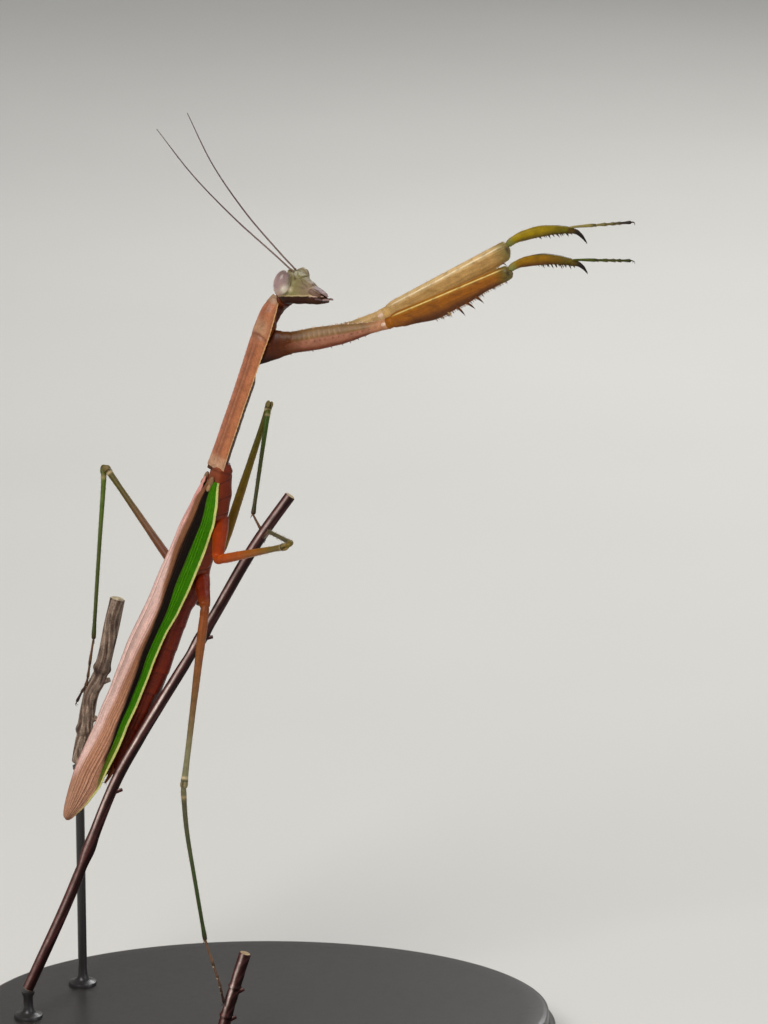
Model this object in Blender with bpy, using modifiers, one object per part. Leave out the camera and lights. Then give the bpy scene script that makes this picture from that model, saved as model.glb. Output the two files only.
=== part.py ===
"""A praying mantis, life size, clinging to three cut stems on a display stand.

Sizes below are millimetres. The insect is laid out along its own body line: s runs from the
rear edge of the pronotum towards the tail (and is negative towards the head), r to the right
side, d to the back. World axes: +X is the way the fore legs reach, -Y the right side, +Z up.
The origin is the middle of the stand's underside.
"""

import math

import bmesh
import bpy
from mathutils import Matrix, Vector

MM = 0.001
JOINT_GAP = 0.24  # clear space between two neighbouring pieces

# Body line
BODY_PITCH = 71.9  # degrees above the horizontal
PRONOTUM_REAR = Vector((-6.75, 0.0, 94.6))
PRONOTUM_LENGTH = 28.9
THORAX_LENGTH = 19.5
ABDOMEN_END = 52.5
ABDOMEN_LENGTHS = ("abdomen_front", "abdomen_middle", "abdomen_rear")
TRUNK_ROLL = 20.0  # the back is turned this far towards the right-hand viewer
PROTHORAX_ROLL = 50.0

# Head
HEAD_CENTRE = Vector((5.15, 0.0, 124.2))
HEAD_TURN = 28.9  # degrees that the mouth points towards the right side
HEAD_DIP = 14.9  # degrees that the mouth points below the horizontal
HEAD_LEAN = 7.2  # degrees that the left eye is lower than the right one
FACE_LENGTH = 7.3
EYE_SPREAD = 3.15
EYE_RADII = (1.3, 1.3, 1.9)  # across, along and through the head
ANTENNA_RADIUS = 0.26

# Wings
FOREWING_START = 2.0
FOREWING_LENGTH = 58.8
WING_TIP_ROUNDING = 7.5
HINDWING_SPAN = (12.0, 54.0)
FOREWING_THICKNESS = 0.55
HINDWING_THICKNESS = 0.5

# Stand and perches
BASE_SIZE = (94.0, 66.0, 5.0)
BASE_EDGE = 0.8
ROD_RADIUS = 0.8
STEM_RADIUS = 0.9
DRY_STEM_RADIUS = 1.25
TWIG_RADIUS = 0.95

PALETTE = {
    "shell_brown": ((0.47, 0.22, 0.12, 1.0), 0.45),
    "shell_red": ((0.22, 0.04, 0.02, 1.0), 0.45),
    "leg_ochre": ((0.42, 0.25, 0.07, 1.0), 0.4),
    "leg_green": ((0.13, 0.16, 0.04, 1.0), 0.4),
    "foot_dark": ((0.06, 0.025, 0.02, 1.0), 0.5),
    "head_olive": ((0.32, 0.33, 0.14, 1.0), 0.4),
    "eye_mauve": ((0.42, 0.28, 0.25, 1.0), 0.2),
    "wing_brown": ((0.35, 0.15, 0.09, 1.0), 0.4),
    "stem_maroon": ((0.08, 0.03, 0.04, 1.0), 0.6),
    "stem_dry": ((0.35, 0.28, 0.2, 1.0), 0.8),
    "stand_black": ((0.02, 0.02, 0.022, 1.0), 0.35),
}


def clear_scene():
    for item in list(bpy.data.objects):
        bpy.data.objects.remove(item)


def collection(name, hidden=False):
    made = bpy.data.collections.new(name)
    bpy.context.scene.collection.children.link(made)
    made.hide_render = hidden
    return made


def material(name):
    colour, roughness = PALETTE[name]
    made = bpy.data.materials.get(name)
    if made is None:
        made = bpy.data.materials.new(name)
        made.use_nodes = True
        shader = made.node_tree.nodes["Principled BSDF"]
        shader.inputs["Base Color"].default_value = colour
        shader.inputs["Roughness"].default_value = roughness
        shader.inputs["Metallic"].default_value = 0.0
    return made


def place(name, mesh, colour):
    item = bpy.data.objects.new(name, mesh)
    item.data.materials.append(material(colour))
    item.data.shade_smooth()
    item.data.set_sharp_from_angle(angle=math.radians(50))
    PARTS.objects.link(item)
    return item


# ---------------------------------------------------------------- directions and frames


def direction(pitch, out):
    """Unit vector: pitch from +X up towards +Z, then turned out towards the right side, -Y."""
    pitch, out = math.radians(pitch), math.radians(out)
    return Vector((math.cos(pitch) * math.cos(out), -math.sin(out), math.sin(pitch) * math.cos(out)))


def body_axes(roll):
    """Forward, right and back-side directions of the trunk turned by roll about its line."""
    forward = direction(BODY_PITCH, 0)
    back = Vector((-forward.z, 0, forward.x))
    right = Vector((0, -1, 0))
    turn = math.radians(roll)
    return (
        forward,
        right * math.cos(turn) - back * math.sin(turn),
        back * math.cos(turn) + right * math.sin(turn),
    )


def body_point(s, r=0.0, d=0.0, roll=TRUNK_ROLL):
    forward, right, back = body_axes(roll)
    return PRONOTUM_REAR - forward * s + right * r + back * d


def blend(table, s):
    """Smooth value at s from (s, value) knots, eased between neighbours."""
    if s <= table[0][0]:
        return table[0][1]
    for (s0, v0), (s1, v1) in zip(table, table[1:]):
        if s <= s1:
            t = (s - s0) / (s1 - s0)
            t = 0.35 * t + 0.65 * t * t * (3 - 2 * t)
            return v0 + (v1 - v0) * t
    return table[-1][1]


# ---------------------------------------------------------------- makers of solids


def face_outwards(bm):
    bmesh.ops.recalc_face_normals(bm, faces=bm.faces)
    if bm.calc_volume(signed=True) < 0:
        bmesh.ops.reverse_faces(bm, faces=bm.faces)


def mesh_from_rings(name, rings):
    """A closed loft through rings of the same number of points, each end closed by a fan."""
    bm = bmesh.new()
    loops = [[bm.verts.new(p * MM) for p in ring] for ring in rings]
    count = len(loops[0])
    for low, high in zip(loops, loops[1:]):
        for i in range(count):
            j = (i + 1) % count
            bm.faces.new((low[i], low[j], high[j], high[i]))
    for loop in (loops[0], loops[-1]):
        middle = bm.verts.new(sum((v.co for v in loop), Vector()) / count)
        for i in range(count):
            bm.faces.new((loop[i], loop[(i + 1) % count], middle))
    face_outwards(bm)
    mesh = bpy.data.meshes.new(name)
    bm.to_mesh(mesh)
    bm.free()
    return mesh


def ring(centre, across, up, half_width, above, below, sides=12, power=2.0):
    """A flattened round outline, with its own height above and below the centre."""
    points = []
    for i in range(sides):
        angle = 2 * math.pi * i / sides
        c, q = math.cos(angle), math.sin(angle)
        x = math.copysign(abs(c) ** (2 / power), c) * half_width
        y = math.copysign(abs(q) ** (2 / power), q) * (above if q > 0 else below)
        points.append(centre + across * x + up * y)
    return points


def tube_mesh(name, points, radii, sides=8, flat=1.0, hint=None):
    """A tapering limb through points; flat widens it along the hint direction."""
    rings = []
    side = None
    for i, point in enumerate(points):
        back = points[max(i - 1, 0)]
        ahead = points[min(i + 1, len(points) - 1)]
        along = (ahead - back).normalized()
        if side is None:
            up = hint if hint is not None else Vector((0, 0, 1))
            side = along.cross(up)
            if side.length < 0.05:
                side = along.cross(Vector((0, 1, 0)))
        side = (side - along * side.dot(along)).normalized()
        up = side.cross(along)
        rings.append(ring(point, side, up, radii[i], radii[i] * flat, radii[i] * flat, sides))
    return mesh_from_rings(name, rings)


def smooth_path(points, steps):
    """Points of a Catmull-Rom curve through the given points."""
    ends = [points[0] * 2 - points[1]] + list(points) + [points[-1] * 2 - points[-2]]
    path = []
    for a, b, c, d in zip(ends, ends[1:], ends[2:], ends[3:]):
        for i in range(steps):
            t = i / steps
            path.append(
                0.5 * (b * 2 + (c - a) * t + (a * 2 - b * 5 + c * 4 - d) * t**2
                       + (b * 3 - a - c * 3 + d) * t**3)
            )
    return path + [points[-1]]


def ellipsoid(name, centre, axes, radii, grow=0.0, segments=14, rows=9):
    bm = bmesh.new()
    bmesh.ops.create_uvsphere(bm, u_segments=segments, v_segments=rows, radius=1.0)
    turn = Matrix([[axes[c][r] for c in range(3)] for r in range(3)]).to_4x4()
    size = Matrix.Diagonal([(r + grow) * MM for r in radii] + [1.0])
    bm.transform(Matrix.Translation(centre * MM) @ turn @ size)
    face_outwards(bm)
    mesh = bpy.data.meshes.new(name)
    bm.to_mesh(mesh)
    bm.free()
    return mesh


def helper(name, mesh):
    item = bpy.data.objects.new(name, mesh)
    item.hide_render = True
    item.display_type = "WIRE"
    CUTTERS.objects.link(item)
    return item


def combine(item, operation, other_mesh, name):
    modifier = item.modifiers.new(name, "BOOLEAN")
    modifier.operation = operation
    modifier.solver = "EXACT"
    modifier.object = helper(item.name + "_" + name, other_mesh)


def spines_mesh(name, spines, sides=4):
    """Several separate cones, from (root, tip, radius), in one helper mesh."""
    bm = bmesh.new()
    for root, tip, radius in spines:
        along = (tip - root).normalized()
        side = along.orthogonal().normalized()
        other = along.cross(side)
        top = bm.verts.new(tip * MM)
        foot = []
        for i in range(sides):
            angle = 2 * math.pi * i / sides
            foot.append(bm.verts.new((root + side * radius * math.cos(angle)
                                      + other * radius * math.sin(angle)) * MM))
        for i in range(sides):
            bm.faces.new((foot[i], foot[(i + 1) % sides], top))
        bm.faces.new(foot[::-1])
    face_outwards(bm)
    mesh = bpy.data.meshes.new(name)
    bm.to_mesh(mesh)
    bm.free()
    return mesh


# ---------------------------------------------------------------- head


def head_axes():
    """Left, mouth and face directions of the head."""
    turn, dip, lean = (math.radians(angle) for angle in (HEAD_TURN, HEAD_DIP, HEAD_LEAN))
    level = Vector((math.sin(turn), math.cos(turn), 0))
    mouth = Vector((math.cos(turn) * math.cos(dip), -math.sin(turn) * math.cos(dip), -math.sin(dip)))
    left = level * math.cos(lean) - mouth.cross(level) * math.sin(lean)
    return left, mouth, mouth.cross(left)


def head_point(left, mouth, face):
    axes = head_axes()
    return HEAD_CENTRE + axes[0] * left + axes[1] * mouth + axes[2] * face


def make_head():
    left, mouth, face = head_axes()
    width = [(-2.1, 1.5), (-1.3, 3.1), (0.2, 3.5), (1.5, 2.9), (3.0, 2.1), (5.0, 1.35), (7.3, 0.8)]
    front = [(-2.1, 0.5), (-1.0, 1.3), (0.4, 1.75), (1.6, 1.7), (3.0, 1.25), (4.8, 0.75), (7.3, 0.25)]
    rear = [(-2.1, 0.8), (-1.0, 2.0), (0.8, 2.6), (2.9, 2.65), (5.0, 2.15), (7.3, 1.15)]
    rings = []
    for i in range(13):
        m = -2.1 + (FACE_LENGTH + 2.1) * (i / 12)
        rings.append(ring(head_point(0, m, 0), left, face, blend(width, m), blend(front, m),
                          blend(rear, m), 16, 2.3))
    head = place("head", mesh_from_rings("head", rings), "head_olive")
    for side, name in ((1, "eye_left"), (-1, "eye_right")):
        centre = head_point(side * EYE_SPREAD, 0, 0)
        axes = (left, mouth, face)
        place(name, ellipsoid(name, centre, axes, EYE_RADII), "eye_mauve")
        cutter = ellipsoid(name + "_room", centre, axes, EYE_RADII, grow=JOINT_GAP)
        combine(head, "DIFFERENCE", cutter, name + "_socket")
    palps = [(head_point(s * 0.55, 6.3, -0.7), head_point(s * 0.75, 8.1, -0.5), 0.38) for s in (1, -1)]
    combine(head, "UNION", spines_mesh("palps", palps, 6), "palps")


def antenna_route(side):
    """The feelers rise from between the eyes and sweep back over the head in a shallow arc."""
    root = head_point(side * 0.65, 0.0, 1.7 + JOINT_GAP + ANTENNA_RADIUS)
    rises = (50.0, 51.0, 57.0, 65.0) if side > 0 else (36.0, 41.0, 46.0, 52.0)
    sweep = list(zip((4.0, 8.0, 9.0, 9.0), rises))
    route = [root]
    drift = -5.0 if side > 0 else 4.0
    for length, rise in sweep:
        route.append(route[-1] + direction(180 - rise, drift) * length)
    return smooth_path(route, 3)


def make_antennae():
    for side, name in ((1, "antenna_left"), (-1, "antenna_right")):
        route = antenna_route(side)
        radii = [ANTENNA_RADIUS] * len(route)
        place(name, tube_mesh(name, route, radii, 6), "foot_dark")


def make_neck():
    route = [
        body_point(-25.8, 0, -2.6, PROTHORAX_ROLL),
        body_point(-27.6, 0, -2.3, PROTHORAX_ROLL),
        head_point(0, -0.5, -2.95),
    ]
    radii = [0.9, 1.0, 0.95]
    place("neck", tube_mesh("neck", route, radii, 10), "shell_red")
    room = tube_mesh("neck_room", route, [radius + JOINT_GAP for radius in radii], 10)
    combine(bpy.data.objects["prothorax"], "DIFFERENCE", room, "neck")


# ---------------------------------------------------------------- trunk


def trunk_solid(name, start, end, steps, sides, roll, tables, colour, power=2.2):
    forward, right, back = body_axes(roll)
    rings = []
    for i in range(steps + 1):
        s = start + (end - start) * i / steps
        centre = body_point(s, 0, blend(tables["centre"], s), roll)
        rings.append(ring(centre, right, back, blend(tables["width"], s), blend(tables["above"], s),
                          blend(tables["below"], s), sides, power))
    return place(name, mesh_from_rings(name, rings), colour)


def make_prothorax():
    tables = {
        "centre": [(-29, -0.3), (-18, -0.15), (0, 0.15)],
        "width": [(-28.9, 0.9), (-27.5, 1.3), (-25, 1.62), (-22, 1.82), (-20.5, 1.8), (-17, 1.68),
                  (-11, 1.6), (-4, 1.72), (0, 1.88)],
        "above": [(-28.9, 0.35), (-27.5, 0.6), (-22, 0.75), (-16, 0.55), (0, 0.6)],
        "below": [(-28.9, 0.25), (-27, 0.45), (-25.4, 0.7), (-24.2, 1.7), (-21, 2.0), (-15, 1.75),
                  (-5, 1.55), (0, 1.6)],
    }
    trunk_solid("prothorax", -PRONOTUM_LENGTH, 0, 20, 14, PROTHORAX_ROLL, tables, "shell_brown")


def trunk_tables():
    """Outline of the hind thorax and the abdomen, below the wings."""
    return {
        "centre": [(0, -0.6), (6, -1.2), (12, -1.4), (20, -1.0), (33, -0.4), (40, 0.1), (46, 0.4),
                   (ABDOMEN_END, 0.4)],
        "width": [(0, 1.6), (5, 1.6), (11, 2.1), (18, 2.5), (24, 2.95), (33, 3.4), (40, 2.9),
                  (47, 2.1), (ABDOMEN_END, 1.0)],
        "above": [(0, 1.2), (6, 1.4), (12, 1.6), (20, 1.8), (33, 2.0), (40, 1.7), (46, 1.3),
                  (ABDOMEN_END, 0.6)],
        "below": [(0, 1.7), (6, 2.1), (12, 2.2), (20, 2.1), (33, 2.5), (40, 2.0), (46, 1.5),
                  (ABDOMEN_END, 0.6)],
    }


def make_trunk():
    tables = trunk_tables()
    trunk_solid("thorax", JOINT_GAP, THORAX_LENGTH, 8, 14, TRUNK_ROLL, tables, "shell_red")
    length = (ABDOMEN_END - THORAX_LENGTH) / len(ABDOMEN_LENGTHS)
    for i, name in enumerate(ABDOMEN_LENGTHS):
        start = THORAX_LENGTH + length * i + JOINT_GAP
        trunk_solid(name, start, THORAX_LENGTH + length * (i + 1), 5, 14, TRUNK_ROLL, tables,
                    "shell_red", 2.0)
    for side, name in ((1, "cercus_right"), (-1, "cercus_left")):
        root = body_point(ABDOMEN_END + JOINT_GAP, side * 0.55, 0.8)
        tip = body_point(ABDOMEN_END + 3.4, side * 1.1, 2.0)
        place(name, tube_mesh(name, [root, (root + tip) / 2, tip], [0.36, 0.34, 0.25], 6), "shell_red")


# ---------------------------------------------------------------- wings


def wing_height(s):
    """Height of the forewings' flat top over the body line."""
    return blend([(2, 0.9), (6, 1.35), (12, 1.9), (22, 2.9), (33, 4.1), (44, 4.6), (54, 5.2),
                  (61, 5.6)], s)


def wing_half_width(s):
    return blend([(2, 1.7), (6, 2.5), (12, 3.1), (22, 3.65), (33, 3.7), (44, 3.2), (54, 2.3),
                  (61, 1.4)], s)


def wing_side_height(s):
    """How far the forewing's green front margin folds down the body's side."""
    return blend([(2, 1.3), (6, 2.6), (9, 3.2), (12, 3.35), (33, 3.2), (44, 2.6), (54, 2.4),
                  (61, 1.0)], s)


def wing_sheet(name, side, start, end, steps, profile, thickness, colour):
    """An arched wing, from an open sheet that Solidify thickens inwards."""
    bm = bmesh.new()
    rows = []
    for i in range(steps + 1):
        s = start + (end - start) * i / steps
        rows.append([bm.verts.new(body_point(s, side * r, d) * MM) for r, d in profile(s)])
    for low, high in zip(rows, rows[1:]):
        for a, b, c, d in zip(low, low[1:], high[1:], high):
            bm.faces.new((a, b, c, d) if side > 0 else (d, c, b, a))
    mesh = bpy.data.meshes.new(name)
    bm.to_mesh(mesh)
    bm.free()
    item = place(name, mesh, colour)
    thick = item.modifiers.new("thickness", "SOLIDIFY")
    thick.thickness = thickness * MM
    thick.offset = -1.0
    thick.use_even_offset = False
    return item


def forewing_profile(s):
    """Cross-section from the midline over the shoulder to the front margin."""
    height, half, side = wing_height(s), wing_half_width(s), wing_side_height(s)
    inner = JOINT_GAP / 2
    outline = [
        (inner, height),
        (inner + (half - inner) * 0.5, height - 0.05),
        (inner + (half - inner) * 0.88, height - 0.28),
        (half, height - 0.28 - side * 0.22),
        (half + 0.12, height - 0.28 - side * 0.6),
        (half + 0.2, height - 0.28 - side * 0.92),
    ]
    round_start = FOREWING_START + FOREWING_LENGTH - WING_TIP_ROUNDING
    along = max(0.0, (s - round_start) / WING_TIP_ROUNDING)
    open_width = 0.1 + 0.9 * math.sqrt(max(0.0, 1 - along**2.2))
    middle = Vector((half * 0.7, height - side * 0.35))
    return [tuple(middle.lerp(Vector(point), open_width)) for point in outline]


def hindwing_profile(s):
    """The folded hind wing lies flat under the forewing."""
    height, half = wing_height(s), wing_half_width(s)
    top = height - FOREWING_THICKNESS - JOINT_GAP
    reach = max(0.55, half - FOREWING_THICKNESS - JOINT_GAP - 0.35)
    inner = JOINT_GAP / 2
    return [(inner, top), (inner + (reach - inner) * 0.5, top - 0.05), (reach, top - 0.35)]


def make_wings():
    for side, name in ((1, "right"), (-1, "left")):
        wing_sheet("forewing_" + name, side, FOREWING_START, FOREWING_START + FOREWING_LENGTH, 24,
                   forewing_profile, FOREWING_THICKNESS, "wing_brown")
        wing_sheet("hindwing_" + name, side, *HINDWING_SPAN, 12, hindwing_profile,
                   HINDWING_THICKNESS, "wing_brown")


# ---------------------------------------------------------------- legs

WALKING_LEGS = {
    "mid": {"coxa": 7.2, "femur": 24.4, "tibia": 17.8, "tarsus": (4.0, 4.6)},
    "hind": {"coxa": 6.8, "femur": 27.4, "tibia": 27.1, "tarsus": (7.0, 4.2)},
}
WALKING_ROOTS = {"mid": (8.8, 1.45, -3.2), "hind": (17.5, 1.5, -2.8)}  # s, r, d on the thorax
WALKING_POSES = {  # pitch and outward angle of each length, coxa to claw
    ("mid", "right"): [(-94.2, 58.4), (35.7, 57.1), (-138.0, -78.4), (-103.0, -73.0), (-112.0, -62.0)],
    ("mid", "left"): [(-85.9, -27.9), (70.6, -13.5), (-97.5, 30.0), (-62.0, 12.0), (-122.0, 2.0)],
    ("hind", "right"): [(-66.0, 60.0), (-98.3, 20.3), (-83.8, -5.1), (-71.5, 10.7), (-79.3, -12.7)],
    ("hind", "left"): [(-84.3, -23.6), (129.9, -30.7), (-95.0, 16.6), (-99.3, 6.0), (-116.0, -5.0)],
}
FORE_LENGTHS = {"coxa": 18.5, "femur": 22.4, "tibia": 9.6, "tarsus": 9.6}
FORE_ROOTS = {"right": (-21.1, 1.5, -1.9), "left": (-20.4, 0.5, -3.3)}  # s, r, d on the prothorax
FORE_COXA_DEPTH = {"right": 1.5, "left": 1.2}  # height over thickness
FORE_POSES = {
    "right": [(13.3, 10.4), (26.8, 16.0), (-0.1, -13.0), (-4.6, -20.0)],
    "left": [(14.6, -2.5), (27.8, -4.3), (9.4, -6.9), (5.5, 0.5)],
}
HIP_OFFSET = 1.65  # a walking femur folded back on its coxa starts this far beside it
KNEE_OFFSET = 1.22
KNEE_RISE = 0.9  # the grasping tibia is hinged this far above the middle of the femur's end


def limb(name, start, end, radii, sides, colour, flat=1.0, hint=None, bend=None):
    """One length of a leg, kept clear of its neighbours at both ends."""
    along = (end - start).normalized()
    first = start + along * JOINT_GAP / 2
    last = end - along * JOINT_GAP / 2
    count = len(radii) - 1
    points = [first.lerp(last, i / count) for i in range(count + 1)]
    if bend:
        points = bend + points[1:]
        radii = radii[:1] + radii
    return place(name, tube_mesh(name, points, radii, sides, flat, hint), colour)


def fold_offset(thigh, shin, room):
    """How far aside a length starts when it folds back beside the one before it."""
    aside = shin - thigh * shin.dot(thigh)
    folded = max(0.0, -thigh.dot(shin))
    return aside.normalized() * room * folded if aside.length > 1e-6 else Vector()


def walking_leg(kind, side_name):
    side = 1 if side_name == "right" else -1
    sizes = WALKING_LEGS[kind]
    aims = [direction(*pair) for pair in WALKING_POSES[(kind, side_name)]]
    s, r, d = WALKING_ROOTS[kind]
    root = body_point(s, side * r, d)
    hip = root + aims[0] * sizes["coxa"]
    limb(f"{kind}_coxa_{side_name}", root, hip, [0.95, 1.1, 0.9, 0.75], 8, "shell_red")
    room = tube_mesh("coxa_room", [root - aims[0] * 0.3, root + aims[0] * 4], [1.2, 1.45], 8)
    combine(bpy.data.objects["thorax"], "DIFFERENCE", room, f"{kind}_coxa_{side_name}")
    knee = hip + aims[1] * sizes["femur"]
    thigh_radii = [0.72, 0.8, 0.7, 0.58, 0.5, 0.55]
    turn = hip + fold_offset(aims[0], aims[1], HIP_OFFSET) + aims[1] * 0.9
    limb(f"{kind}_femur_{side_name}", turn, knee, thigh_radii, 8, "leg_ochre")
    shift = fold_offset(aims[1], aims[2], KNEE_OFFSET)
    above = knee + aims[1] * (JOINT_GAP / 2 + 1.15)
    ankle = knee + aims[2] * sizes["tibia"]
    bend = [above, knee + shift + (ankle - knee).normalized() * 0.5] if shift.length > 0.5 else None
    shin_radii = [0.42, 0.42, 0.36, 0.32, 0.3, 0.3]
    limb(f"{kind}_tibia_{side_name}", knee, ankle, shin_radii, 8, "leg_green", bend=bend)
    middle = ankle + aims[3] * sizes["tarsus"][0]
    toe = middle + aims[4] * sizes["tarsus"][1]
    start = ankle + aims[3] * JOINT_GAP
    points = [start, start.lerp(middle, 0.5), middle, middle.lerp(toe, 0.5), toe]
    name = f"{kind}_tarsus_{side_name}"
    place(name, tube_mesh(name, points, [0.28, 0.27, 0.3, 0.27, 0.27], 6), "foot_dark")


def row_of_spines(start, end, count, aim, length, radius, sink):
    """Spines along a line, alternately long and short, sunk into the limb that carries them."""
    spines = []
    for i in range(count):
        foot = start.lerp(end, i / (count - 1))
        tall = length * (1.0 if i % 2 else 0.62)
        spines.append((foot - aim * sink, foot + aim * tall, radius))
    return spines


def fore_femur(name, hip, knee, side):
    """The grasping femur: deep, flattened, with two rows of spines below and a third inside."""
    along = (knee - hip).normalized()
    across = along.cross(Vector((0, 0, 1))).normalized()
    up = across.cross(along)
    depth = [(0, 0.85), (0.12, 1.35), (0.38, 1.9), (0.6, 1.68), (0.8, 1.35), (0.95, 1.25), (1, 1.0)]
    rings = []
    for i in range(13):
        t = i / 12
        half = blend(depth, t)
        point = hip.lerp(knee, t) + along * JOINT_GAP * (0.5 - t)
        rings.append(ring(point, across, up, half * 0.58, min(half, 1.3), half * 2 - min(half, 1.3),
                          10, 2.2))
    femur = place(name, mesh_from_rings(name, rings), "leg_ochre")
    outer = across * (0.55 * side)
    spines = []
    for offset, count, first, last, length in (
        (outer, 4, 0.44, 0.8, 1.5),
        (-outer, 12, 0.34, 0.92, 1.2),
        (Vector(), 4, 0.3, 0.46, 1.6),
    ):
        start = hip.lerp(knee, first) + offset - up * (blend(depth, first) * 1.05)
        end = hip.lerp(knee, last) + offset - up * (blend(depth, last) * 1.0)
        spines += row_of_spines(start, end, count, (along - up * 1.4).normalized(), length, 0.2, 0.5)
    combine(femur, "UNION", spines_mesh(name + "_spines", spines), "spines")


def fore_tibia(name, knee, wrist):
    """The grasping tibia ends in a long curved claw, with a comb of teeth along its underside."""
    along = (wrist - knee).normalized()
    across = along.cross(Vector((0, 0, 1))).normalized()
    up = across.cross(along)
    rings = []
    for t, half in ((0, 0.5), (0.18, 0.8), (0.45, 0.92), (0.75, 0.75), (1.0, 0.55)):
        bow = up * (0.75 * math.sin(math.pi * t))
        point = knee.lerp(wrist, t) + along * JOINT_GAP * (0.5 - t * 0.5) + bow
        rings.append(ring(point, across, up, half * 0.72, half, half, 10))
    claw = [(0.8, -0.3, 0.42), (1.6, -0.9, 0.3), (2.3, -1.8, 0.12)]
    for ahead, below, half in claw:
        point = wrist + along * ahead + up * below
        lean = (along * 0.75 + up * 0.65).normalized()
        rings.append(ring(point, across, lean, half, half, half, 10))
    tibia = place(name, mesh_from_rings(name, rings), "leg_ochre")
    spines = []
    for offset, count in ((across * 0.36, 9), (across * -0.36, 11)):
        start = knee.lerp(wrist, 0.42) + offset - up * 0.02
        end = knee.lerp(wrist, 1.0) + offset - up * 0.4
        spines += row_of_spines(start, end, count, (along * 0.5 - up).normalized(), 0.62, 0.15, 0.3)
    combine(tibia, "UNION", spines_mesh(name + "_teeth", spines), "teeth")


def fore_leg(side_name):
    side = 1 if side_name == "right" else -1
    aims = [direction(*pair) for pair in FORE_POSES[side_name]]
    s, r, d = FORE_ROOTS[side_name]
    root = body_point(s, side * r, d, PROTHORAX_ROLL)
    hip = root + aims[0] * FORE_LENGTHS["coxa"]
    coxa_radii = [0.95, 1.15, 1.2, 1.15, 1.05, 0.95, 0.8]
    upright = Vector((0, 0, 1))
    depth = FORE_COXA_DEPTH[side_name]
    limb(f"fore_coxa_{side_name}", root, hip, coxa_radii, 10, "shell_brown", depth, upright)
    room = tube_mesh("coxa_room", [root - aims[0], root + aims[0] * 6], [1.2, 1.55], 10, depth, upright)
    combine(bpy.data.objects["prothorax"], "DIFFERENCE", room, "coxa_" + side_name)
    knee = hip + aims[1] * FORE_LENGTHS["femur"]
    fore_femur(f"fore_femur_{side_name}", hip + aims[1] * 0.6, knee, side)
    hinge = knee + Vector((0, 0, KNEE_RISE))
    wrist = hinge + aims[2] * FORE_LENGTHS["tibia"]
    fore_tibia(f"fore_tibia_{side_name}", hinge, wrist)
    lift = Vector((0, 0, 0.9))
    toe = wrist + lift + aims[3] * FORE_LENGTHS["tarsus"]
    start = wrist + lift + aims[3] * 0.3
    radii = [0.3, 0.28, 0.27, 0.26, 0.26]
    points = [start.lerp(toe, i / 4) for i in range(5)]
    name = f"fore_tarsus_{side_name}"
    place(name, tube_mesh(name, points, radii, 6), "foot_dark")


def make_legs():
    for side_name in ("right", "left"):
        fore_leg(side_name)
        for kind in WALKING_LEGS:
            walking_leg(kind, side_name)


# ---------------------------------------------------------------- perches and stand


def make_stem(name, route, radius, colour, sides=10):
    path = smooth_path([Vector(p) for p in route], 3)
    place(name, tube_mesh(name, path, [radius] * len(path), sides), colour)


def make_perches():
    make_stem("perch_stem", STEM_ROUTE, STEM_RADIUS, "stem_maroon")
    make_stem("perch_dry_stem", DRY_STEM_ROUTE, DRY_STEM_RADIUS, "stem_dry")
    make_stem("perch_twig", TWIG_ROUTE, TWIG_RADIUS, "stem_maroon")


STEM_ROUTE = [(4.8, 0.0, 90.0), (-1.26, 0.0, 81.15), (-8.56, 0.3, 68.1), (-15.9, -2.6, 56.6),
              (-19.2, -3.6, 51.2), (-23.5, -4.0, 43.0), (-30.0, -4.0, 26.3), (-37.3, -4.0, 9.8)]
DRY_STEM_ROUTE = [(-23.0, 11.2, 70.1), (-25.7, 11.2, 58.2), (-27.6, 11.2, 53.5), (-29.5, 11.2, 42.7)]
TWIG_ROUTE = [(-2.4, -12.9, 19.0), (-4.7, -12.9, 11.2), (-6.3, -12.9, BASE_SIZE[2] + 0.5)]


def make_rod(name, foot_x, foot_y, top):
    base_top = BASE_SIZE[2] + JOINT_GAP
    points = [Vector((foot_x, foot_y, base_top)), Vector((foot_x, foot_y, top))]
    place(name, tube_mesh(name, points, [ROD_RADIUS] * 2, 12), "stand_black")


def make_stand():
    length, width, height = BASE_SIZE
    bm = bmesh.new()
    bmesh.ops.create_cone(bm, cap_ends=True, segments=48, radius1=0.5, radius2=0.5, depth=1.0)
    bm.transform(Matrix.Translation((0, 0, height / 2 * MM))
                 @ Matrix.Diagonal((length * MM, width * MM, height * MM, 1.0)))
    mesh = bpy.data.meshes.new("stand_base")
    bm.to_mesh(mesh)
    bm.free()
    base = place("stand_base", mesh, "stand_black")
    edge = base.modifiers.new("edge", "BEVEL")
    edge.width = BASE_EDGE * MM
    edge.segments = 2
    edge.limit_method = "ANGLE"
    for name, route, radius in (
        ("stand_rod_stem", STEM_ROUTE, STEM_RADIUS),
        ("stand_rod_dry_stem", DRY_STEM_ROUTE, DRY_STEM_RADIUS),
    ):
        x, y, z = route[-1]
        make_rod(name, x, y, z - radius - JOINT_GAP)


clear_scene()
PARTS = collection("mantis")
CUTTERS = collection("cutters", hidden=True)
make_head()
make_antennae()
make_prothorax()
make_neck()
make_trunk()
make_wings()
make_legs()
make_perches()
make_stand()
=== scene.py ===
import math

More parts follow.
